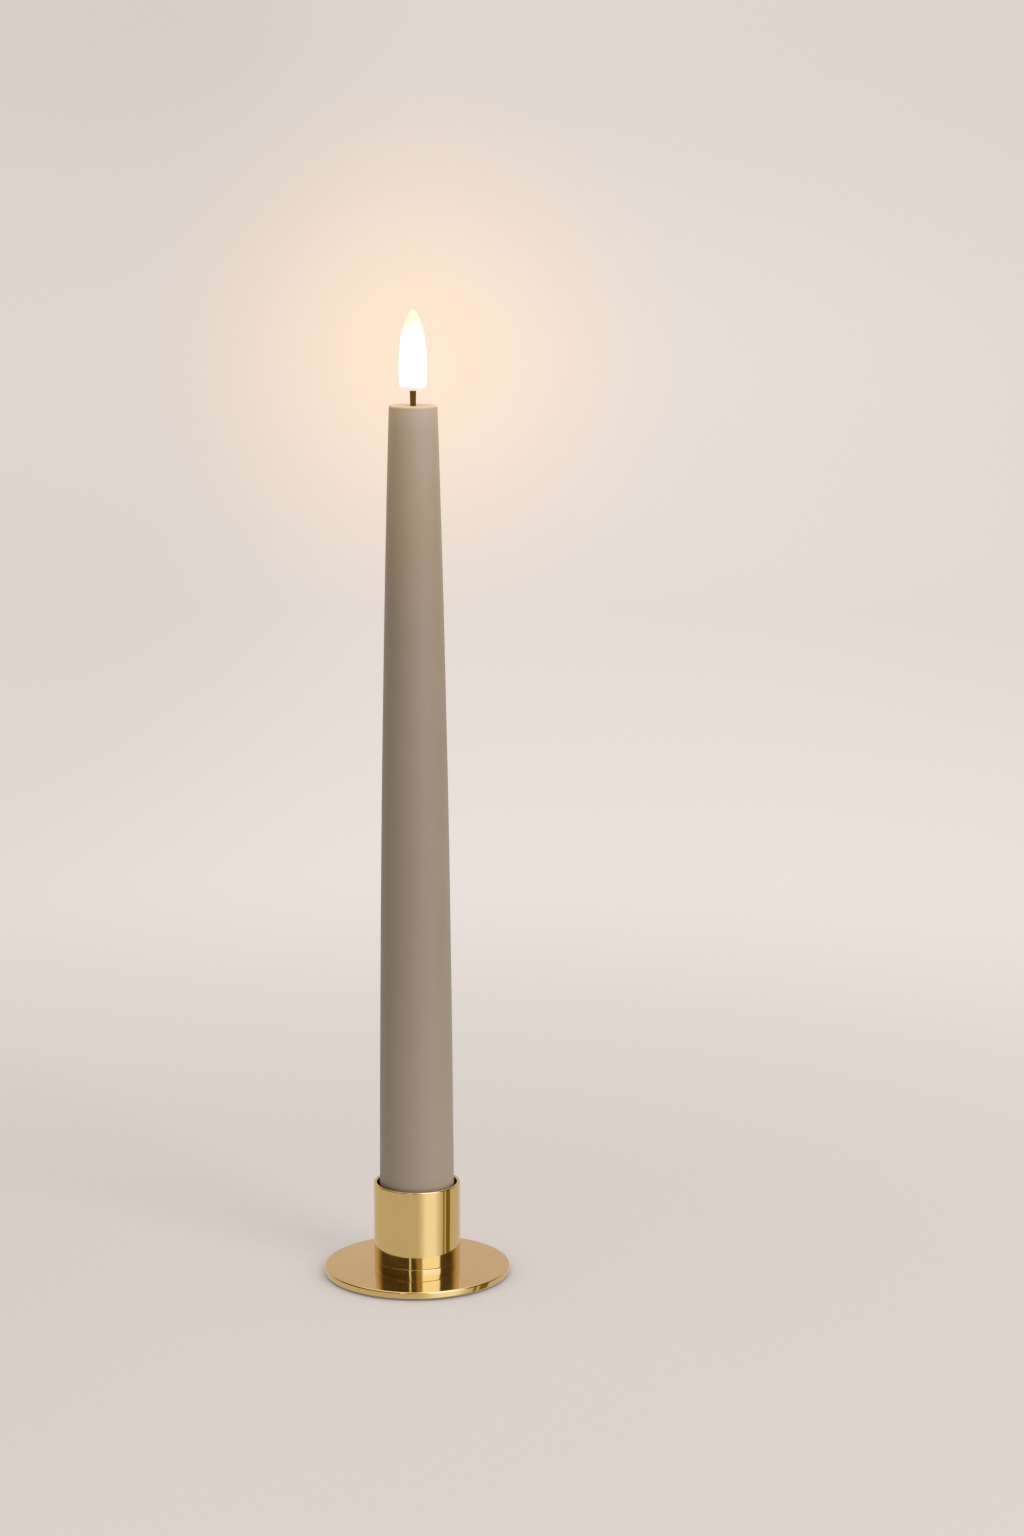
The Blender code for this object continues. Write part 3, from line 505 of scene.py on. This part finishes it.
def make_holder(m):
    """Brass disc, foam pad, shoulder and cup, each turned."""
    disc_low, disc_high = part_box("holder_disc")
    pad_low, pad_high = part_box("base_pad")
    tube_low, tube_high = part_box("cup_tube")
    plug_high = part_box("cup_plug")[1]
    brass = m["polished_brass"]
    hole, recess_r, recess = SCREW_HOLE_R, 3.3 * MM, pad_high.z + 1.3 * MM
    pad_r, pad_seat = pad_high.x + GAP, pad_high.z + GAP
    corners = [
        (hole, recess, 0), (recess_r, recess, 0), (recess_r, pad_seat, 0), (pad_r, pad_seat, 0),
        (pad_r, disc_low.z, 0.08 * MM), (disc_high.x, disc_low.z, BRASS_EDGE),
        (disc_high.x, disc_high.z, BRASS_EDGE), (hole, disc_high.z, 0),
    ]
    disc = turned("brass_disc", rounded(corners, 6), brass, FINE_SIDES)
    stands_for(disc, "holder", "polished_brass", "holder_disc")

    pad_edge = 0.15 * MM
    corners = [
        (0, pad_low.z, 0), (pad_high.x, pad_low.z, pad_edge),
        (pad_high.x, pad_high.z, pad_edge), (0, pad_high.z, 0),
    ]
    pad = turned("foam_pad", rounded(corners), m["black_foam"])
    stands_for(pad, "holder", "black_foam", "base_pad")

    seam = 0.14 * MM
    shoulder_top = tube_low.z - 0.10 * MM
    spigot = plug_high.x - 1.25 * MM
    thread_top, shoulder_foot = disc_high.z + 0.8 * MM, disc_high.z - 0.02 * MM
    corners = [
        (0, thread_top, 0), (hole, thread_top, 0),
        (hole, shoulder_foot, 0), (plug_high.x, shoulder_foot, 0),
        (plug_high.x, shoulder_top, seam), (spigot, shoulder_top, 0),
        (spigot, plug_high.z, 0.2 * MM), (0, plug_high.z, 0),
    ]
    shoulder = turned("brass_shoulder", rounded(corners, 4), brass)
    stands_for(shoulder, "holder", "polished_brass", "cup_plug")

    inner, lip = tube_high.x - 0.95 * MM, 0.35 * MM
    corners = [
        (inner, tube_low.z, 0), (tube_high.x, tube_low.z, seam),
        (tube_high.x, tube_high.z, lip), (inner, tube_high.z, lip),
    ]
    cup = turned("brass_cup", rounded(corners, 7), brass, FINE_SIDES)
    stands_for(cup, "holder", "polished_brass", "cup_tube")


def candle_radius(height):
    """Radius of the wax at a height, by the taper that the CAD shell has."""
    foot, straight, curved, power = 11.0, 1.43, 2.70, 2.4
    share = (height - TABLE_TOP) / (WAX_TOP - TABLE_TOP)
    return (foot - straight * share - curved * share**power) * MM


def make_wax(m):
    """The wax shell: a slightly dished top round the wick, and hand-dipped unevenness."""
    low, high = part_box("wax_shell")
    tube_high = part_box("core_tube")[1]
    edge = 0.4 * MM
    heights = np.linspace(low.z + 0.25 * MM, high.z - 1.2 * edge, 90)
    side = [(candle_radius(h), h) for h in heights]
    top_r = candle_radius(high.z)
    corner = rounded([(side[-1][0], side[-1][1], 0), (top_r, high.z, edge),
                      (top_r / 2, high.z - 0.05 * MM, 0)], 8)[1:-1]
    dish_r, hole_r, dip = top_r - 1.6 * edge, 1.15 * MM, 0.22 * MM
    dish = [(dish_r + (hole_r - dish_r) * t, high.z - 0.02 * MM - dip * math.sin(t * math.pi / 2))
            for t in np.linspace(0, 1, 10)]
    tube_r = tube_high.x + GAP
    bore_top, narrows, straight = high.z - 1.3 * MM, 118.0 * MM, 114.0 * MM
    bore = [(hole_r, bore_top), (candle_radius(bore_top) - WAX_WALL, bore_top)]
    inside = [(min(tube_r, candle_radius(h) - WAX_WALL), h)
              for h in np.linspace(tube_high.z, narrows, 20)]
    outline = [(tube_r, low.z), (side[0][0] - 0.2 * MM, low.z), *side, *corner, *dish, *bore,
               *inside, (tube_r, straight)]
    wax = turned("wax_candle", outline, m["taupe_wax"])
    around, along, dimples = 60, 28, 260  # how fine each unevenness is
    side_depth, top_depth = 0.035, 0.03 * MM
    for vert in wax.data.vertices:
        radius = Vector(vert.co.xy).length
        if radius > 0.8 * candle_radius(vert.co.z):
            spot = Vector((vert.co.x * around, vert.co.y * around, vert.co.z * along))
            vert.co.xy *= 1 - (side_depth + side_depth * noise.noise(spot)) * MM / radius
        if vert.co.z > high.z - 1.5 * MM and radius > hole_r:
            vert.co.z -= top_depth * (1 + noise.noise(vert.co * dimples))
    stands_for(wax, "candle_shell", "taupe_wax", "wax_shell")


def make_flame(m):
    """A hollow flame: widest at its belly, drawn in to the foot and to a blunt point."""
    low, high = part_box("flame")
    width, tall = high.x, high.z - low.z
    belly, foot_corner, tip = 6.5 * MM, 1.6 * MM, 2.2 * MM
    draw_in, corner_draw, sharpness, steps = 0.075, 0.70, 0.6, 12

    def radius(rise):
        if rise > belly:
            share = (rise - belly) / (tall - belly)
            return width * max(0.0, 1 - share**2) ** sharpness
        below, corner = 1 - rise / belly, max(0.0, 1 - rise / foot_corner)
        return width * (1 - draw_in * below**2) * math.sqrt(1 - corner_draw * corner**2)

    rises = [foot_corner * (k / steps) ** 1.6 for k in range(steps + 1)]
    rises += list(np.linspace(1.9 * MM, tall - tip, 40))
    rises += [tall - tip * (1 - k / steps) ** 2 for k in range(1, steps)]
    outside = [(radius(rise), low.z + rise) for rise in rises] + [(0, high.z)]
    wall, mouth = 0.9 * MM, 1.95 * MM
    inside = [(radius(rise) - wall, low.z + rise)
              for rise in np.linspace(tall - 3.5 * MM, wall, 30)]
    outline = [*reversed(outside), (mouth + 0.05 * MM, low.z), (mouth, low.z + 0.15 * MM),
               (mouth, low.z + wall), *reversed(inside), (0, low.z + tall - 2.9 * MM)]
    flame = turned("candle_flame", outline, m["lit_flame"], SMALL_SIDES)
    stands_for(flame, "candle_shell", "frosted_flame", "flame")


def make_wick(m):
    """A tight twisted sleeve: lobes of yarn that wind round the leads."""
    low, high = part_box("wick")
    strands, rings, around = 7, 110, 84
    twist, flare_length, bore = 1.3 * MM, 5 * MM, 0.62 * MM
    bm = bmesh.new()
    loops = []
    for i in range(rings + 1):
        height = low.z + (high.z - low.z) * i / rings
        flare = 0.90 + 0.10 * max(0.0, 1 - (high.z - height) / flare_length)
        loop = []
        for k in range(around):
            angle = 2 * math.pi * k / around
            lobe = abs(math.cos(strands * (angle - height / twist) / 2))
            fuzz = 0.02 * noise.noise(Vector((angle * 9, height * 9000, 3.1)))
            radius = high.x * flare * (0.86 + 0.12 * lobe + fuzz)
            loop.append(bm.verts.new((radius * math.cos(angle), radius * math.sin(angle), height)))
        loops.append(loop)
    for height in (high.z, low.z):
        loops.append([bm.verts.new((bore * math.cos(2 * math.pi * k / around),
                                    bore * math.sin(2 * math.pi * k / around), height))
                      for k in range(around)])
    for a, b in zip(loops, loops[1:] + loops[:1]):
        for k in range(around):
            bm.faces.new((a[k], a[(k + 1) % around], b[(k + 1) % around], b[k]))
    wick = as_piece("wick_sleeve", shaded(bm, "wick_sleeve", math.radians(70)), m["dark_wick"])
    stands_for(wick, "candle_shell", "dark_wick", "wick")


def make_foot(m):
    """Moulded foot cap with the switch slot and the two screw holes."""
    low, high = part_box("foot_cap")
    inner, recess, floor = high.x - 1.3 * MM, 1.2 * MM, 1.2 * MM
    corners = [
        (0, low.z + recess, 0), (inner - 0.2 * MM, low.z + recess, 0.15 * MM),
        (inner, low.z, 0.15 * MM), (high.x - 0.4 * MM, low.z, 0.6 * MM),
        (high.x, high.z, 0.15 * MM), (inner, high.z, 0.15 * MM),
        (inner, low.z + recess + floor, 0.3 * MM), (0, low.z + recess + floor, 0),
    ]
    foot = turned("candle_foot", rounded(corners), m["taupe_plastic"])
    below = low.z + recess - floor
    slot = block((6.8 * MM, 2.4 * MM, 4 * floor), 0.3 * MM)
    steps = [("DIFFERENCE", tool(slot, (0, 0, below)))]
    for side in ("front", "back"):
        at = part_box("foot_screw_" + side)
        hole = drum(SMALL_SCREW_R, 4 * floor)
        steps.append(("DIFFERENCE", tool(hole, (0, (at[0].y + at[1].y) / 2, below))))
    stands_for(worked(foot, *steps), "battery_unit", "taupe_plastic", "foot_cap")


def make_cells(m):
    """Steel cans in a plain film, crimped over a recessed washer, each with a pressed button."""
    for name in ("lower_battery", "upper_battery"):
        low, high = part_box(name)
        lip, washer = high.z - 1.2 * MM, high.z - 1.5 * MM
        corners = [
            (0, low.z, 0), (3.4 * MM, low.z, 0.1 * MM), (3.6 * MM, low.z + 0.15 * MM, 0.1 * MM),
            (4.4 * MM, low.z + 0.15 * MM, 0.1 * MM), (high.x, low.z + 0.1 * MM, 0.4 * MM),
            (high.x, lip, 0.55 * MM), (4.3 * MM, lip, 0.12 * MM), (4.1 * MM, washer, 0.1 * MM),
            (2.5 * MM, washer, 0.1 * MM), (1.95 * MM, lip + 0.2 * MM, 0.2 * MM),
            (1.85 * MM, high.z, 0.3 * MM), (0, high.z, 0),
        ]
        cell = turned("film_" + name, rounded(corners, 4), m["battery_sleeve"], SMALL_SIDES,
                      (0, (low.y + high.y) / 2))
        stands_for(cell, "battery_unit", "battery_sleeve", name)


def make_cradle(m):
    """White moulded trough: flange on two posts, O-ring groove, open front, finger notch, head."""
    low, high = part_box("battery_cradle")
    cell_low, cell_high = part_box("lower_battery")
    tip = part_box("tip_contact")
    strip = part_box("return_strip")
    ring_low, ring_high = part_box("foot_o_ring")
    flange_foot, flange_t, neck, groove = 20.0 * MM, 2 * MM, 7.4 * MM, 6.5 * MM
    post_r, tip_hole_r = 1.7 * MM, 1.0 * MM
    window_foot, wide, deep = 33 * MM, 20 * MM, 8 * MM
    notch_length, notch_back, slot_deep = 18 * MM, 0.8 * MM, 3 * MM
    cell_y = (cell_low.y + cell_high.y) / 2
    flange_top = flange_foot + flange_t
    groove_foot, groove_top = ring_low.z - GAP, ring_high.z + GAP
    corners = [
        (0, flange_foot, 0), (high.x, flange_foot, 0.2 * MM), (high.x, flange_top, 0.2 * MM),
        (neck, flange_top, 0.4 * MM), (neck, groove_foot, 0.1 * MM),
        (groove, groove_foot, 0.1 * MM), (groove, groove_top, 0.1 * MM),
        (neck, groove_top, 0.1 * MM), (neck, high.z, 0.35 * MM), (0, high.z, 0),
    ]
    cradle = turned("cell_cradle", rounded(corners), m["white_plastic"], SMALL_SIDES)
    below, head = cell_low.z - GAP, tip[0].z + 0.6 * MM
    lip = cell_y - 1.2 * MM
    steps = []
    for side in ("front", "back"):
        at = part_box("foot_screw_" + side)
        y = (at[0].y + at[1].y) / 2
        post = drum(post_r, flange_foot + MM - low.z)
        hole = drum(SMALL_SCREW_R, below - 0.7 * MM - low.z)
        steps.append(("UNION", tool(post, (0, y, low.z))))
        steps.append(("DIFFERENCE", tool(hole, (0, y, low.z - GAP))))
    slot = block((strip[1].x - strip[0].x + 2 * GAP, slot_deep, high.z + MM - below))
    slot_y, notch_z = strip[1].y + GAP - slot_deep / 2, cell_high.z + GAP - notch_length / 2
    window = block((wide, deep, head - window_foot), 0.5 * MM)
    notch = block((wide, deep, notch_length), 1.5 * MM)
    steps += [
        ("DIFFERENCE", tool(drum(CELL_BORE_R, head - below, 96), (0, cell_y, below))),
        ("DIFFERENCE", tool(slot, (0, slot_y, below))),
        ("DIFFERENCE", tool(window, (0, lip - deep / 2, window_foot))),
        ("DIFFERENCE", tool(notch, (0, lip - notch_back, notch_z))),
        ("DIFFERENCE", tool(drum(tip_hole_r, 4 * MM), (0, 0, head - MM))),
    ]
    stands_for(worked(cradle, *steps), "battery_unit", "white_plastic", "battery_cradle")


def make_seal_and_spring(m):
    """Round O-ring in its groove, and the conical spring under the lower cell."""
    low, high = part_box("foot_o_ring")
    section = (high.z - low.z) / 2
    loop = [(high.x - section + section * math.cos(a), low.z + section + section * math.sin(a))
            for a in np.linspace(0, 2 * math.pi, 25)[:-1]]
    ring = turned("seal_ring", loop, m["black_rubber"], SMALL_SIDES)
    stands_for(ring, "battery_unit", "black_rubber", "foot_o_ring")

    low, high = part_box("battery_spring")
    wire_r, turns, centre = 0.3 * MM, 3.5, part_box("lower_battery")
    centre_y = (centre[0].y + centre[1].y) / 2
    foot_r, top_r = high.x - wire_r, 1.7 * MM
    path = []
    for share in np.linspace(0, 1, 220):
        angle, radius = 2 * math.pi * turns * share, foot_r + (top_r - foot_r) * share
        height = low.z + wire_r + (high.z - low.z - 2 * wire_r) * share
        path.append(Vector((radius * math.cos(angle), centre_y + radius * math.sin(angle), height)))
    spring = wound("cell_spring", path, wire_r, m["nickel"])
    stands_for(spring, "battery_unit", "nickel", "battery_spring")


def make_chip(m):
    """Eight-legged timer chip: a bevelled body with a dimple, and gull-wing legs on the board."""
    low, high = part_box("control_chip")
    centre = (low + high) / 2
    wide, tall = high.x - low.x, high.z - low.z
    leg_t, leg_w, leg_length, pitch = 0.15 * MM, 0.35 * MM, 0.75 * MM, 1.1 * MM
    overhang, draft, dimple_r, dimple_deep = 0.45 * MM, 0.94, 0.25 * MM, 0.08 * MM
    body_w = wide - 2 * overhang
    body = bmesh.new()
    bmesh.ops.create_cube(body, size=1.0)
    for vert in body.verts:
        slope = draft if vert.co.z > 0 else 1.0
        vert.co.x *= body_w * slope
        vert.co.y *= (high.y - low.y) * slope
        vert.co.z = (vert.co.z + 0.5) * (tall - leg_t)
    bmesh.ops.bevel(body, geom=list(body.edges), offset=0.08 * MM, segments=3, affect="EDGES",
                    profile=0.5)
    mesh = shaded(body, "timer_chip")
    chip = as_piece("timer_chip", mesh, m["black_plastic"])
    mesh.transform(Matrix.Translation((centre.x, centre.y, low.z + leg_t)))
    steps = []
    for side in (-1, 1):
        for k in range(4):
            leg = block((leg_length, leg_w, leg_t + 0.25 * MM), 0.05 * MM)
            x = centre.x + side * (wide / 2 - leg_length / 2)
            steps.append(("UNION", tool(leg, (x, centre.y + (k - 1.5) * pitch, low.z))))
    dimple = drum(dimple_r, MM, 24)
    spot = (centre.x - 0.8 * MM, low.y + 0.9 * MM, high.z - dimple_deep)
    steps.append(("DIFFERENCE", tool(dimple, spot)))
    stands_for(worked(chip, *steps), "battery_unit", "black_plastic", "control_chip")


def make_end_caps(m):
    """Ceramic capacitor and resistor: a body between two slightly larger ends."""
    inset, cap_length = 0.04 * MM, 0.4 * MM
    for node, name, slot in END_CAPS:
        low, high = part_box(node)
        centre, size = (low + high) / 2, high - low
        body = block((size.x - 2 * inset, size.y, size.z - inset), 0.03 * MM)
        part = as_piece(name, shaded(body, name), m[slot])
        part.data.transform(Matrix.Translation((centre.x, centre.y, low.z)))
        steps = []
        for side in (-1, 1):
            cap = block((size.x, cap_length, size.z), 0.08 * MM)
            at = (centre.x, centre.y + side * (size.y / 2 - cap_length / 2), low.z)
            steps.append(("UNION", tool(cap, at)))
        stands_for(worked(part, *steps), "battery_unit", slot, node)


# ---------------------------------------------------------------- stage


def cyclorama():
    """Round pale floor that sweeps up into a wall, well outside every camera's place. Its glow is
    weaker near the middle, with painted light falloff to the left, right, front and up the wall,
    and painted contact shade near the pieces.
    """
    contact = 0.016  # how far the shade round the foot reaches
    s = Shader("stage_paper")
    place = s.place()
    x, y, z = s.axes(place)
    paper = s.grain(place, 700.0, 4.0, 0.7)
    broad = s.grain(place, 1.3, 2.0)
    radius = s.reach(x, y)
    colour = s.blend(paper, (0.236, 0.219, 0.206), (0.264, 0.245, 0.230))
    sheet = s.add("BsdfDiffuse", Color=colour)
    far = s.spread(radius, 0.10, 0.60, 0.41, 0.580)
    # painted light falloff: the glow dims to the left, right, front and up the wall
    left = s.spread(x, -0.26, -0.02, 0.90, 1.0)
    right = s.spread(x, 0.60, 0.12, 0.94, 1.0)
    front = s.spread(y, -0.34, -0.06, 0.92, 1.0)
    top = s.spread(z, 0.12, 0.45, 1.0, 0.89)
    painted_light_falloff = s.math("MULTIPLY", s.math("MULTIPLY", left, front), s.math("MULTIPLY", right, top))
    even = s.math("MULTIPLY", painted_light_falloff, s.spread(broad, 0.2, 0.8, 0.99, 1.01))
    fibre = s.spread(s.grain(place, 420.0, 3.0, 0.6), 0.25, 0.75, 0.985, 1.015)
    # painted contact shade: ambient occlusion dims the paper's glow near the pieces
    near = s.add("AmbientOcclusion", {"samples": 8}, Distance=contact)
    shade = s.spread(near.outputs["AO"], 0.0, 1.0, 0.12, 1.0, smooth=False)
    power = s.math("MULTIPLY", s.math("MULTIPLY", far, even), s.math("MULTIPLY", fibre, shade))
    glow = s.add("Emission", Color=(1.0, 0.913, 0.862), Strength=power)
    both = s.add("AddShader")
    s.feed(both.inputs[0], sheet.outputs[0])
    s.feed(both.inputs[1], glow.outputs[0])
    material = s.finish(both.outputs[0])

    flat, bend, tall = 1.5, 0.8, 3.2
    outline = [(0, 0), (0.15, 0), (0.5, 0), (flat, 0)]
    outline += [(flat + bend * math.sin(a), bend - bend * math.cos(a))
                for a in np.linspace(0.05, math.pi / 2, 24)]
    outline.append((flat + bend, tall))
    bm = bmesh.new()
    points = [bm.verts.new((radius, 0, height)) for radius, height in outline]
    lines = [bm.edges.new(pair) for pair in zip(points, points[1:])]
    bmesh.ops.spin(bm, geom=points + lines, cent=(0, 0, 0), axis=(0, 0, 1),
                   angle=2 * math.pi, steps=128, use_merge=True)
    bmesh.ops.remove_doubles(bm, verts=bm.verts, dist=1e-5)
    for face in bm.faces:
        if face.normal.dot(Vector((0, 0, 1.6)) - face.calc_center_median()) < 0:
            face.normal_flip()
    mesh = bpy.data.meshes.new("stage_floor")
    bm.to_mesh(mesh)
    bm.free()
    mesh.shade_smooth()
    sweep = as_piece("stage_floor", mesh, material)
    sweep.visible_diffuse = False
    sweep.visible_glossy = False
    sweep.visible_shadow = False


# What the brass sees: even levels with soft-edged light cards, the table's below the horizon and
# the studio's above it. A card is (from, to, soft edge, level), the first three in degrees, where
# 0 is towards the camera's side and + is to its right.
TABLE_LEVEL = 0.60
TABLE_CARDS = (
    (15, 60, 30, 0.45),  # softbox light lying on the table
    (75, 80, 2, -0.35),  # narrow dark flag
    (85, 100, 4, -0.40),  # wide dark flag
)
STUDIO_LEVEL = 0.05
STUDIO_CARDS = (
    (-20, -15, 1, 0.90),  # thin strip light
    (0, 15, 10, 0.35),  # fill beside the camera
    (15, 65, 8, 1.30),  # softbox
)
BACKDROP_LEVEL = 0.60


def round_glow(s, degrees, level, cards):
    """An even level with soft-edged cards added to it or taken from it."""
    for low, high, edge, strength in cards:
        rise = s.spread(degrees, low - edge / 2, low + edge / 2)
        fall = s.spread(degrees, high - edge / 2, high + edge / 2, 1.0, 0.0)
        level = s.math("MULTIPLY_ADD", s.math("MULTIPLY", rise, fall), strength, level)
    return level


def reflection_dome():
    """The studio as the brass sees it: only glossy rays meet it."""
    dim, softbox, backdrop = (1.0, 0.78, 0.20), (1.0, 1.28, 2.20), (0.98, 0.86, 0.83)
    amber, paper, lit_paper = (1.0, 0.70, 0.05), (1.0, 0.96, 0.91), (1.0, 1.02, 1.14)
    overhead, overhead_level = (1.0, 0.97, 0.93), 1.0
    horizon, roof_foot, roof_top = 0.02, 1.25, 1.75
    s = Shader("stage_reflections")
    x, y, z = s.axes(s.place())
    turn = s.math("ARCTAN2", x, s.math("MULTIPLY", y, -1.0))
    degrees = s.math("MULTIPLY", turn, 180 / math.pi)
    behind = s.spread(s.math("ABSOLUTE", degrees), 100.0, 140.0)
    below = round_glow(s, degrees, TABLE_LEVEL, TABLE_CARDS)
    above = round_glow(s, degrees, STUDIO_LEVEL, STUDIO_CARDS)
    above = s.math("MULTIPLY_ADD", behind, BACKDROP_LEVEL, above)
    light = s.blend(s.spread(above, 0.1, 1.3), dim, softbox)
    light = s.blend(behind, light, backdrop)
    high = s.spread(z, -horizon, horizon)
    table = s.blend(s.spread(below, 0.3, 0.6), amber, paper)
    table = s.blend(s.spread(below, 0.75, 1.05), table, lit_paper)
    colour = s.blend(high, table, light)
    roof = s.spread(z, roof_foot, roof_top)
    colour = s.blend(roof, colour, overhead)
    above = s.math("ADD", above, s.math("MULTIPLY", roof, overhead_level))
    power = s.math("ADD", s.math("MULTIPLY", above, high),
                   s.math("MULTIPLY", below, s.math("SUBTRACT", 1.0, high)))
    glow = s.add("Emission", Color=colour, Strength=power)
    bm = bmesh.new()
    bmesh.ops.create_icosphere(bm, subdivisions=6, radius=1.9)
    bmesh.ops.reverse_faces(bm, faces=bm.faces)
    mesh = bpy.data.meshes.new("stage_reflections")
    bm.to_mesh(mesh)
    bm.free()
    dome = as_piece("stage_reflections", mesh, s.finish(glow.outputs[0]))
    dome.visible_camera = False
    dome.visible_diffuse = False
    dome.visible_shadow = False
    dome.visible_transmission = False


def flame_halo():
    """Painted warm glow round the lit flame: light only, with nothing solid in it."""
    low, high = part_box("flame")
    centre = (low + high) / 2
    reach, width, glow, absorbed = 0.14, 0.034, 2.7, 0.7
    s = Shader("stage_halo")
    out = s.add("VectorMath", {"operation": "LENGTH"}, Vector=s.place()).outputs["Value"]
    squared = s.math("MULTIPLY", out, out)
    fall = s.math("EXPONENT", s.math("MULTIPLY", squared, -1 / (2 * width**2)))
    # painted glow: the volume emits warm light and tints faintly round the flame
    painted_halo_glow = s.add("Emission", Color=(1.0, 0.42, 0.0), Strength=s.math("MULTIPLY", fall, glow))
    tint = s.add("VolumeAbsorption", Color=(1.0, 0.80, 0.0),
                 Density=s.math("MULTIPLY", fall, absorbed))
    both = s.add("AddShader")
    s.feed(both.inputs[0], painted_halo_glow.outputs[0])
    s.feed(both.inputs[1], tint.outputs[0])
    s.feed(s.output.inputs["Volume"], both.outputs[0])
    bm = bmesh.new()
    bmesh.ops.create_icosphere(bm, subdivisions=4, radius=reach)
    mesh = bpy.data.meshes.new("stage_halo")
    bm.to_mesh(mesh)
    bm.free()
    halo = as_piece("stage_halo", mesh, s.material)
    halo.location = centre
    halo.visible_shadow = False
    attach(halo, "candle_shell")


def soft_light(name, azimuth, lift, distance, size, power, colour, target):
    """An area light that looks at a target; azimuth 0 is towards the camera, + to its right."""
    a, e = math.radians(azimuth), math.radians(lift)
    place = Vector((math.sin(a) * math.cos(e), -math.cos(a) * math.cos(e), math.sin(e))) * distance
    data = bpy.data.lights.new(name, "AREA")
    data.shape = "RECTANGLE"
    data.size, data.size_y = size
    data.energy = power
    data.color = colour
    lamp = bpy.data.objects.new(name, data)
    lamp.location = target + place
    lamp.rotation_euler = (-place).to_track_quat("-Z", "Y").to_euler()
    lamp.visible_glossy = False
    lamp.visible_camera = False
    bpy.context.scene.collection.objects.link(lamp)


def make_stage():
    """The sweep, what the brass mirrors, the halo, two soft lights and even studio air."""
    cyclorama()
    reflection_dome()
    flame_halo()
    middle = Vector((0, 0, 0.14))
    soft_light("key_softbox", 44, 24, 3.0, (1.2, 2.0), 63.0, (1.0, 0.965, 0.92), middle)
    soft_light("overhead", 0, 84, 1.3, (1.0, 1.0), 7.0, (1.0, 0.97, 0.94), middle)
    world = bpy.data.worlds.new("studio_air")
    world.use_nodes = True
    air = world.node_tree.nodes["Background"].inputs
    air["Color"].default_value = (1.0, 0.965, 0.93, 1.0)
    air["Strength"].default_value = 0.60
    bpy.context.scene.world = world
    bpy.context.scene.view_settings.view_transform = "Standard"


def make_camera():
    """An 81 mm lens, 0.97 m in front and 0.32 m above the table, tilted 10 degrees down."""
    aside, back, above_disc, tilt = 27.8 * MM, 971.4 * MM, 320.3 * MM, 10.08
    data = bpy.data.cameras.new("camera")
    data.lens = 80.8
    data.sensor_width = 36.0
    data.clip_start = 0.01
    camera = bpy.data.objects.new("camera", data)
    camera.location = (aside, -back, TABLE_TOP + above_disc)
    camera.rotation_euler = (math.radians(90 - tilt), 0, 0)
    bpy.context.scene.collection.objects.link(camera)
    bpy.context.scene.camera = camera


def main():
    """Every shown CAD node gets its finish, then come the camera, the pieces and the stage."""
    m = {
        "polished_brass": polished_brass(),
        "taupe_wax": taupe_wax(),
        "lit_flame": lit_flame(),
        "dark_wick": dark_wick(),
        "taupe_plastic": moulded("taupe_plastic", (0.34, 0.28, 0.22), 0.46),
        "white_plastic": moulded("white_plastic", (0.74, 0.72, 0.68), 0.40),
        "black_plastic": moulded("black_plastic", (0.020, 0.020, 0.022), 0.42),
        "black_foam": soft_black("black_foam", (0.016, 0.015, 0.014), 0.92, 2500.0, 0.12),
        "black_rubber": soft_black("black_rubber", (0.014, 0.014, 0.014), 0.62, 5000.0, 0.02),
        "red_insulation": moulded("red_insulation", (0.55, 0.025, 0.020), 0.38),
        "nickel": plated("nickel", (0.66, 0.62, 0.55), 0.22),
        "zinc_steel": plated("zinc_steel", (0.60, 0.61, 0.62), 0.30),
        "battery_sleeve": battery_sleeve(),
        "green_board": green_board(),
        "ceramic_chip": moulded("ceramic_chip", (0.42, 0.30, 0.18), 0.55),
        "clear_epoxy": clear_epoxy(),
    }
    for entry in frame["record"]["subparts"]:
        node = frame["nodes"][entry["node"]]
        finish = m.get(entry["material_slot"])
        if finish is not None:
            node.data.materials.clear()
            node.data.materials.append(finish)
    make_camera()
    make_holder(m)
    make_wax(m)
    make_flame(m)
    make_wick(m)
    make_foot(m)
    make_cells(m)
    make_cradle(m)
    make_seal_and_spring(m)
    make_chip(m)
    make_end_caps(m)
    make_stage()


main()
